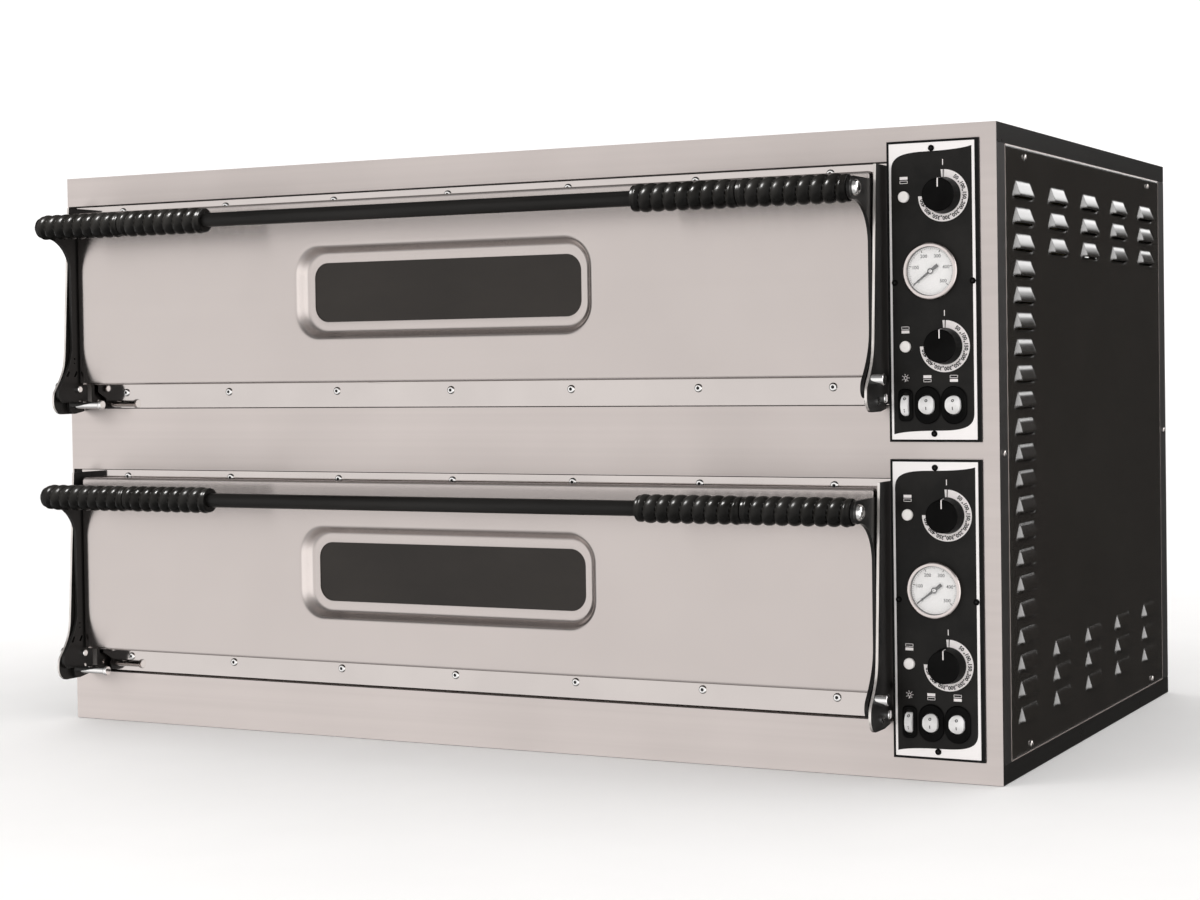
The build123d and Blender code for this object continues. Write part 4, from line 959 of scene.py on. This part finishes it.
def number(build, text, place, size, turn, y, thickness, weight):
    """Printed number centred at a point, turned clockwise by degrees."""
    curve = bpy.data.curves.new("number", "FONT")
    curve.body = text
    curve.size = size
    curve.align_x = "CENTER"
    curve.align_y = "CENTER"
    curve.extrude = thickness / 2
    curve.offset = size * weight
    curve.resolution_u = 2
    holder = bpy.data.objects.new("number", curve)
    link(holder)
    bpy.context.view_layer.update()
    mesh = bpy.data.meshes.new_from_object(holder)
    spin = Matrix.Rotation(math.radians(-turn), 4, "Z")
    stand = Matrix.Rotation(math.radians(90), 4, "X")
    matrix = Matrix.Translation((place[0], y - thickness / 2, place[1])) @ stand @ spin
    points = [tuple(matrix @ vertex.co) for vertex in mesh.vertices]
    build.add(points, [tuple(polygon.vertices) for polygon in mesh.polygons])
    bpy.data.objects.remove(holder)
    bpy.data.meshes.remove(mesh)
    bpy.data.curves.remove(curve)


# -------- control panels
# Upper edge of the black film, as two cubic curves that share a point: across from the plate's
# left edge, and below its top
FILM_EDGE = ((5.1, 33.0), (5.1, 18.0), (14.0, 12.8), (44.0, 12.5), (62.0, 12.5), (88.0, 11.9),
             (100.3, 8.3))

# Black strip over the plate's rim
SEAL_WIDTH = 2.4
# the black strip's extra width on the right is painted shade for the shadow at the plate's edge
SEAL_AND_SHADE_WIDTH_RIGHT = 4.3
SEAL_OVERHANG = 0.3
SEAL_CHAMFER = 0.3
SEAL_HEIGHT = 0.5                # above the plate's face
SEAL_BITE = 0.02                 # keeps its faces clear of the sheets it lies on

SCALE_INNER = 20.8
SCALE_OUTER = 29.4
SCALE_SWEEP = 270.0
SCALE_FIRST = 38.0               # angle of the first number
SCALE_LAST = 252.0
SCALE_NUMBERS = ("50", "100", "150", "200", "250", "300", "350", "400", "450")
SCALE_PRINT = 0.08
DOT_CIRCLE = 23.4

HEAT_ICON = (9.4, 3.3)           # width and height of each of its two bars
HEAT_ICON_GAP = 1.1
HEAT_ICON_LINE = 0.55


def curve_points(start, control_a, control_b, stop, steps):
    """Points of a cubic Bezier curve, without the last one."""
    points = []
    for step in range(steps):
        t = step / steps
        u = 1 - t
        points.append(tuple(u ** 3 * a + 3 * u * u * t * b + 3 * u * t * t * c + t ** 3 * d
                            for a, b, c, d in zip(start, control_a, control_b, stop)))
    return points


def film_outline(deck):
    """Black film: a big curve at two opposite corners, a small tip at the other two."""
    edge = [(across, PLATE_HEIGHT - below) for across, below in FILM_EDGE]
    half = curve_points(*edge[:4], 14) + curve_points(*edge[3:], 8) + edge[-1:]
    width = edge[0][0] + edge[-1][0]
    other = [(width - px, PLATE_HEIGHT - pz) for px, pz in half]
    return [plate_point(deck, point) for point in reversed(half + other)]


def heat_icon(build, x, z, top_filled, y):
    """Two bars, one filled and one outlined: the ceiling's or the floor's heat."""
    width, height = HEAT_ICON
    line = HEAT_ICON_LINE
    offset = (height + HEAT_ICON_GAP) / 2
    filled = offset if top_filled else -offset
    flat_outline(build, bar_outline(x, z + filled, width, height), y)
    open_z = z - filled
    for side in (-1, 1):
        flat_outline(build, bar_outline(x, open_z + side * (height - line) / 2, width, line), y)
        flat_outline(build, bar_outline(x + side * (width - line) / 2, open_z, line, height), y)


def lamp_icon(build, x, z, y):
    """Bulb with seven rays."""
    closed_ring(build, x, z, 1.5, 2.1, y, steps=20)
    flat_outline(build, bar_outline(x, z - 3.1, 1.6, 1.3), y)
    for ray in range(7):
        flat_outline(build, spoke_outline(x, z, -60 + ray * 50, 2.9, 4.6, 0.28), y)


def heat_scale(white, black, x, z, y):
    """Printed ring round a knob, with numbers and dots."""
    for start, stop, steps in ((3.5, SCALE_SWEEP, 72), (-4.5, -1.2, 4), (-0.2, 1.2, 3)):
        ring_band(white, x, z, SCALE_INNER, SCALE_OUTER, start, stop, y, steps)
    middle = (SCALE_INNER + SCALE_OUTER) / 2
    spacing = (SCALE_LAST - SCALE_FIRST) / (len(SCALE_NUMBERS) - 1)
    for index, text in enumerate(SCALE_NUMBERS):
        turn = SCALE_FIRST + index * spacing
        number(black, text, polar(x, z, middle, turn), 6.0, turn, y - FILM, SCALE_PRINT, 0.04)
        if index:
            dot = polar(x, z, DOT_CIRCLE, turn - spacing / 2)
            disc(black, *dot, 0.95, y - FILM, SCALE_PRINT, 10)
    flat_outline(white, bar_outline(x, z + 37.5, 0.9, 6.5), y)


def make_plate_graphics(deck):
    film = Piece()
    flat_outline(film, film_outline(deck), PLATE_FACE)
    film.make(f"{deck}_control_film", "overlay", "root")
    white = Piece()
    black = Piece()
    y = PLATE_FACE - FILM
    for place in KNOB_PLACES.values():
        heat_scale(white, black, *plate_point(deck, place), y)
    for index, place in enumerate(LAMP_PLACES):
        x, z = plate_point(deck, place)
        heat_icon(white, x, z + 19.0, index == 0, y)
    for name, place in SWITCH_PLACES.items():
        x, z = plate_point(deck, place)
        if name == "light":
            lamp_icon(white, x, z + 31.0, y)
        else:
            heat_icon(white, x, z + 30.0, name == "top_heat", y)
    white.make(f"{deck}_white_print", "white_ink", "root")
    black.make(f"{deck}_black_print", "black_ink", "root")


def make_plate_seal(deck):
    """Black strip over the rim of the control plate, partly a seal and partly painted shade; on the
    right it is wider, taking in the shadow beside the plate.
    """
    right = PLATE_LEFT + PLATE_WIDTH
    bottom = PLATE_BOTTOM[deck]
    top = bottom + PLATE_HEIGHT
    outer = (PLATE_LEFT - SEAL_OVERHANG, right + SEAL_OVERHANG, bottom - SEAL_OVERHANG,
             top + SEAL_OVERHANG)
    inner = (PLATE_LEFT + SEAL_WIDTH, right - SEAL_AND_SHADE_WIDTH_RIGHT, bottom + SEAL_WIDTH,
             top - SEAL_WIDTH)
    inward = (SEAL_CHAMFER, -SEAL_CHAMFER, SEAL_CHAMFER, -SEAL_CHAMFER)
    outer_crown = tuple(edge + step for edge, step in zip(outer, inward))
    inner_crown = tuple(edge - step for edge, step in zip(inner, inward))
    crown = PLATE_FACE - SEAL_HEIGHT
    shoulder = crown + SEAL_CHAMFER
    points = []
    for (x0, x1, z0, z1), y in ((outer, FRONT - SEAL_BITE), (outer, shoulder), (outer_crown, crown),
                                (inner_crown, crown), (inner, shoulder),
                                (inner, PLATE_FACE + SEAL_BITE)):
        points += [(x0, y, z0), (x1, y, z0), (x1, y, z1), (x0, y, z1)]
    seal = Piece()
    seal.add(points, loft_faces(6, 4, cyclic=True))
    seal.make(f"{deck}_plate_seal", "seal", "root")


# -------- thermometer dials
DIAL_SWEEP = (-128.0, 128.0)     # clockwise from the top
DIAL_NUMBERS = ("0", "100", "200", "300", "400", "500")
DIAL_DEPTH = 1.5                 # dial in front of the plate's face
DIAL_FACE = (1.6, 28.4)          # inner and outer radius
DIAL_RIM = (27.2, 28.3)
DIAL_PRINT = 0.1
NUMBER_CIRCLE = 18.6
TICK_COUNT = 50
TICK_OUTER = 26.6
TICK_KINDS = ((10, 3.4, 0.42), (5, 2.4, 0.2), (1, 1.4, 0.2))     # every, length, half width
NEEDLE_SHAPE = ((-11, 2.1), (-3, 1.7), (25, 0.5))                # along the blade, half width
NEEDLE_SHEET = 0.6
NEEDLE_BOSS = 3.4


def make_needle(deck):
    """Tapered blade with a counterweight tail, at its resting angle."""
    node = f"{deck}_thermometer_needle"
    x, z = plate_point(deck, THERMOMETER_PLACE)
    back = box_mm(node)[0].y + NEEDLE_SHEET
    centre = Vector((mm(x), mm(z)))
    offsets = [Vector((v.co.x, v.co.z)) - centre for v in NODES[node].data.vertices]
    along = max(offsets, key=lambda offset: offset.length).normalized()
    across = Vector((-along.y, along.x))
    shape = [(reach, -half) for reach, half in NEEDLE_SHAPE]
    shape += [(reach, half) for reach, half in reversed(NEEDLE_SHAPE)]
    outline = [(x + a * along.x + b * across.x, z + a * along.y + b * across.y) for a, b in shape]
    build = Piece()
    flat_outline(build, outline, back, NEEDLE_SHEET)
    disc(build, x, z, NEEDLE_BOSS, back, NEEDLE_SHEET + 0.1, 48)
    build.make(f"{deck}_needle_blade", "black_ink", node, instead_of=node)


def dial_ticks(build, x, z, y):
    start, stop = DIAL_SWEEP
    for tick in range(TICK_COUNT + 1):
        length, half = next(kind[1:] for kind in TICK_KINDS if tick % kind[0] == 0)
        turn = start + (stop - start) * tick / TICK_COUNT
        outline = spoke_outline(x, z, turn, TICK_OUTER - length, TICK_OUTER, half)
        flat_outline(build, outline, y, DIAL_PRINT)


def make_dial(deck):
    x, z = plate_point(deck, THERMOMETER_PLACE)
    face_y = PLATE_FACE - DIAL_DEPTH
    face = Piece()
    closed_ring(face, x, z, *DIAL_FACE, face_y - 0.02, 0.3)
    face.make(f"{deck}_dial_face", "dial", "root")
    marks = Piece()
    y = face_y - 0.32
    closed_ring(marks, x, z, *DIAL_RIM, y, DIAL_PRINT)
    dial_ticks(marks, x, z, y)
    start, stop = DIAL_SWEEP
    for index, text in enumerate(DIAL_NUMBERS):
        turn = start + (stop - start) * index / (len(DIAL_NUMBERS) - 1)
        number(marks, text, polar(x, z, NUMBER_CIRCLE, turn), 5.6, 0.0, y, DIAL_PRINT, 0.015)
    marks.make(f"{deck}_dial_marks", "black_ink", "root")
    needle = f"{deck}_thermometer_needle"
    hub = Piece()
    hub_place = Vector((x, box_mm(needle)[0].y + 0.3, z))
    screw_head(hub, hub_place, Vector((0, -1, 0)), 2.4, 0.9, 0.7)
    hub.make(f"{deck}_needle_hub", "chrome", needle, smooth=True)


# -------- marks that move
POINTER_HALF = 0.65
# Side view of the pointer: behind the knob's face, and above its centre
POINTER_PROFILE = ((0.05, 8.7), (0.05, 17.3), (0.5, 18.45), (1.6, 19.0), (9.0, 19.75), (9.0, 19.2),
                   (1.9, 18.2), (0.85, 17.3), (0.85, 8.7))
ROCKER_TILT = 7.0
ROCKER_PIVOT = 0.5               # in front of the plate's face
ROCKER_CROWN = 7.5               # in front of the plate's face
ROCKER_RADIUS = 13.0
ROCKER_PRINT = 0.12
ROCKER_MARK_RISE = {"light": 6.8, "top_heat": 4.4, "floor_heat": 4.4}


def make_knob_pointer(deck, name, place):
    """White line inlaid in the knob's face and over its rim."""
    x, z = plate_point(deck, place)
    face_y = box_mm(f"{deck}_{name}_knob")[0].y
    points = [(across, face_y + depth, z + rise) for across in (x - POINTER_HALF, x + POINTER_HALF)
              for depth, rise in POINTER_PROFILE]
    pointer = Piece()
    pointer.add(points, loft_faces(2, len(POINTER_PROFILE), closed_ends=True))
    pointer.make(f"{deck}_{name}_pointer", "white_ink", f"{deck}_{name}_knob")


def make_rocker_marks(deck, name, place):
    """O above and I below, printed on the rocker's round face at its resting tilt."""
    x, z = plate_point(deck, place)
    tilt = Matrix.Rotation(math.radians(-ROCKER_TILT), 4, "X")
    pivot = Vector((x, PLATE_FACE - ROCKER_PIVOT, z))
    crown = PLATE_FACE - ROCKER_CROWN
    rise = ROCKER_MARK_RISE[name]
    build = Piece()
    closed_ring(build, x, z + rise, 0.8, 1.7, crown, ROCKER_PRINT, 20)
    flat_outline(build, bar_outline(x, z - rise, 1.0, 3.4), crown, ROCKER_PRINT)
    curved = []
    for px, py, pz in build.points:
        drop = ROCKER_RADIUS - math.sqrt(ROCKER_RADIUS ** 2 - (pz - z) ** 2)
        curved.append(tuple(pivot + tilt @ (Vector((px, py + drop - 0.05, pz)) - pivot)))
    build.points = curved
    build.make(f"{deck}_{name}_rocker_marks", "black_ink", f"{deck}_{name}_rocker")


# -------- stage and light, in metres
STAGE_SIZE = 60.0
STAGE_DROP = -0.0005
WORLD_STRENGTH = 1.12
GRIP_LAMP_WATTS = 190
# Direction, cosine of the outer and inner edge, brightness
GLOW_LAMPS = (
    ((0.767, 0.454, 0.447), 0.880, 0.975, 6.5),
    ((-0.970, 0.100, -0.200), 0.950, 0.985, 1.5),
)


def make_stage():
    """Pale paper floor reaching the horizon on every side."""
    bpy.ops.mesh.primitive_plane_add(size=STAGE_SIZE, location=(0, 0, STAGE_DROP))
    floor = bpy.context.object
    floor.name = "studio_floor"
    look = Shader("studio_paper")
    tone = look.blend(look.cloud(3.0), (0.93, 0.925, 0.92), (0.95, 0.945, 0.94))
    floor.data.materials.append(look.surface(colour=tone, rough=0.9, specular=0.1))
    floor.visible_glossy = False


def soft_light(name, place, target, size, power):
    data = bpy.data.lights.new(name, "AREA")
    data.shape = "SQUARE"
    data.size = size
    data.energy = power
    data.color = (1.0, 0.985, 0.97)
    light = bpy.data.objects.new(name, data)
    link(light)
    light.location = place
    light.rotation_mode = "QUATERNION"
    light.rotation_quaternion = (Vector(target) - Vector(place)).to_track_quat("-Z", "Y")
    return light


def studio_glow(world):
    """What shiny surfaces see: bright in front and on the right, dim above and behind."""
    def ramp(value, start, stop, low, high):
        return world.spread(value, low, high, start, stop, "SMOOTHSTEP")

    direction = world.node("ShaderNodeTexCoord").outputs["Generated"]
    x, y, z = world.axes(direction)
    above = ramp(z, 0.22, 0.62, 1.0, 0.22)
    below = ramp(z, -0.75, -0.30, 0.45, 1.0)
    front = ramp(y, -0.15, 0.35, 1.14, 0.03)
    right = ramp(x, 0.45, 0.85, 1.0, 1.5)
    left = ramp(x, -0.97, -0.78, 0.04, 1.0)
    behind = ramp(y, 0.80, 0.92, 0.0, 1.0)
    band = world.product(ramp(z, 0.17, 0.215, 0.0, 3.0), ramp(z, 0.35, 0.5, 1.0, 0.0), behind)
    haze = world.product(ramp(z, 0.075, 0.12, 0.0, 0.06), behind)
    glow = world.product(above, below, front, right, left)
    glow = world.maths("ADD", glow, world.maths("ADD", band, haze))
    for lamp_direction, edge, core, power in GLOW_LAMPS:
        nearness = world.dot(direction, Vector(lamp_direction).normalized())
        glow = world.maths("ADD", glow, ramp(nearness, edge, core, 0.0, power))
    return glow


def make_world():
    """Plain white light, in which shiny surfaces see the studio's glow."""
    scene_world = bpy.data.worlds.new("studio")
    bpy.context.scene.world = scene_world
    scene_world.use_nodes = True
    world = NodeTree(scene_world.node_tree)
    background = world.tree.nodes["Background"]
    background.inputs["Color"].default_value = (1.0, 0.99, 0.985, 1.0)
    shiny = world.node("ShaderNodeLightPath").outputs["Is Glossy Ray"]
    strength = world.node("ShaderNodeMix", data_type="FLOAT")
    world.put(strength.inputs["Factor"], shiny)
    world.put(strength.inputs[2], WORLD_STRENGTH)
    world.put(strength.inputs[3], studio_glow(world))
    world.put(background.inputs["Strength"], strength.outputs[0])


def make_lamps():
    """A fill without highlights, and a lamp that lights only the grips."""
    fill = soft_light("front_fill", (-2.6, -3.6, 2.2), (0, -0.4, 0.4), 2.0, 25)
    fill.visible_glossy = False
    grips = bpy.data.collections.new("grips_only")
    for deck in DECKS:
        grips.objects.link(bpy.data.objects[f"{deck}_twisted_grips"])
    lamp = soft_light("grip_lamp", (-0.95, -1.45, 2.1), (0, -0.47, 0.5), 0.6, GRIP_LAMP_WATTS)
    lamp.light_linking.receiver_collection = grips


# -------- camera
# Fitted to the viewing angle: yaw from the oven's front, a slight pitch and roll
CAMERA_YAW = 27.356
CAMERA_PITCH = 1.210
CAMERA_ROLL = -0.874
CAMERA_FROM_CORNER = Vector((2102.4, -2477.5, 489.3))    # from the fascia's lower left corner
CAMERA_LENS = 68.66
CAMERA_SENSOR = 36.0
CAMERA_SHIFT = (0.0013, -0.0378)


def make_camera():
    data = bpy.data.cameras.new("camera")
    data.sensor_width = CAMERA_SENSOR
    data.lens = CAMERA_LENS
    data.shift_x, data.shift_y = CAMERA_SHIFT
    camera = bpy.data.objects.new("camera", data)
    link(camera)
    turned = (Matrix.Rotation(math.radians(CAMERA_YAW), 4, "Z")
              @ Matrix.Rotation(math.radians(90 - CAMERA_PITCH), 4, "X")
              @ Matrix.Rotation(math.radians(CAMERA_ROLL), 4, "Z"))
    place = (Vector((LEFT, FRONT, BASE)) + CAMERA_FROM_CORNER) * mm(1)
    camera.matrix_world = Matrix.Translation(place) @ turned
    bpy.context.scene.camera = camera


# -------- build
paint_nodes()
for deck in DECKS:
    make_door_skin(deck)
    make_grips(deck)
    make_plate_graphics(deck)
    make_plate_seal(deck)
    make_needle(deck)
    make_dial(deck)
    for name, place in KNOB_PLACES.items():
        make_knob_pointer(deck, name, place)
    for name, place in SWITCH_PLACES.items():
        make_rocker_marks(deck, name, place)
make_screws("front_frame_screws", 4.5, 5.2, 2.4, 2.2, "chrome")
make_screws("control_plate_screws", 3.6, 3.6, 2.0, 1.4, "housing")
make_screws("casing_screws", 4.5, 4.0, 2.2, 1.6, "dull_screw")
make_stage()
make_world()
make_lamps()
make_camera()
bpy.context.scene.view_settings.view_transform = "Standard"
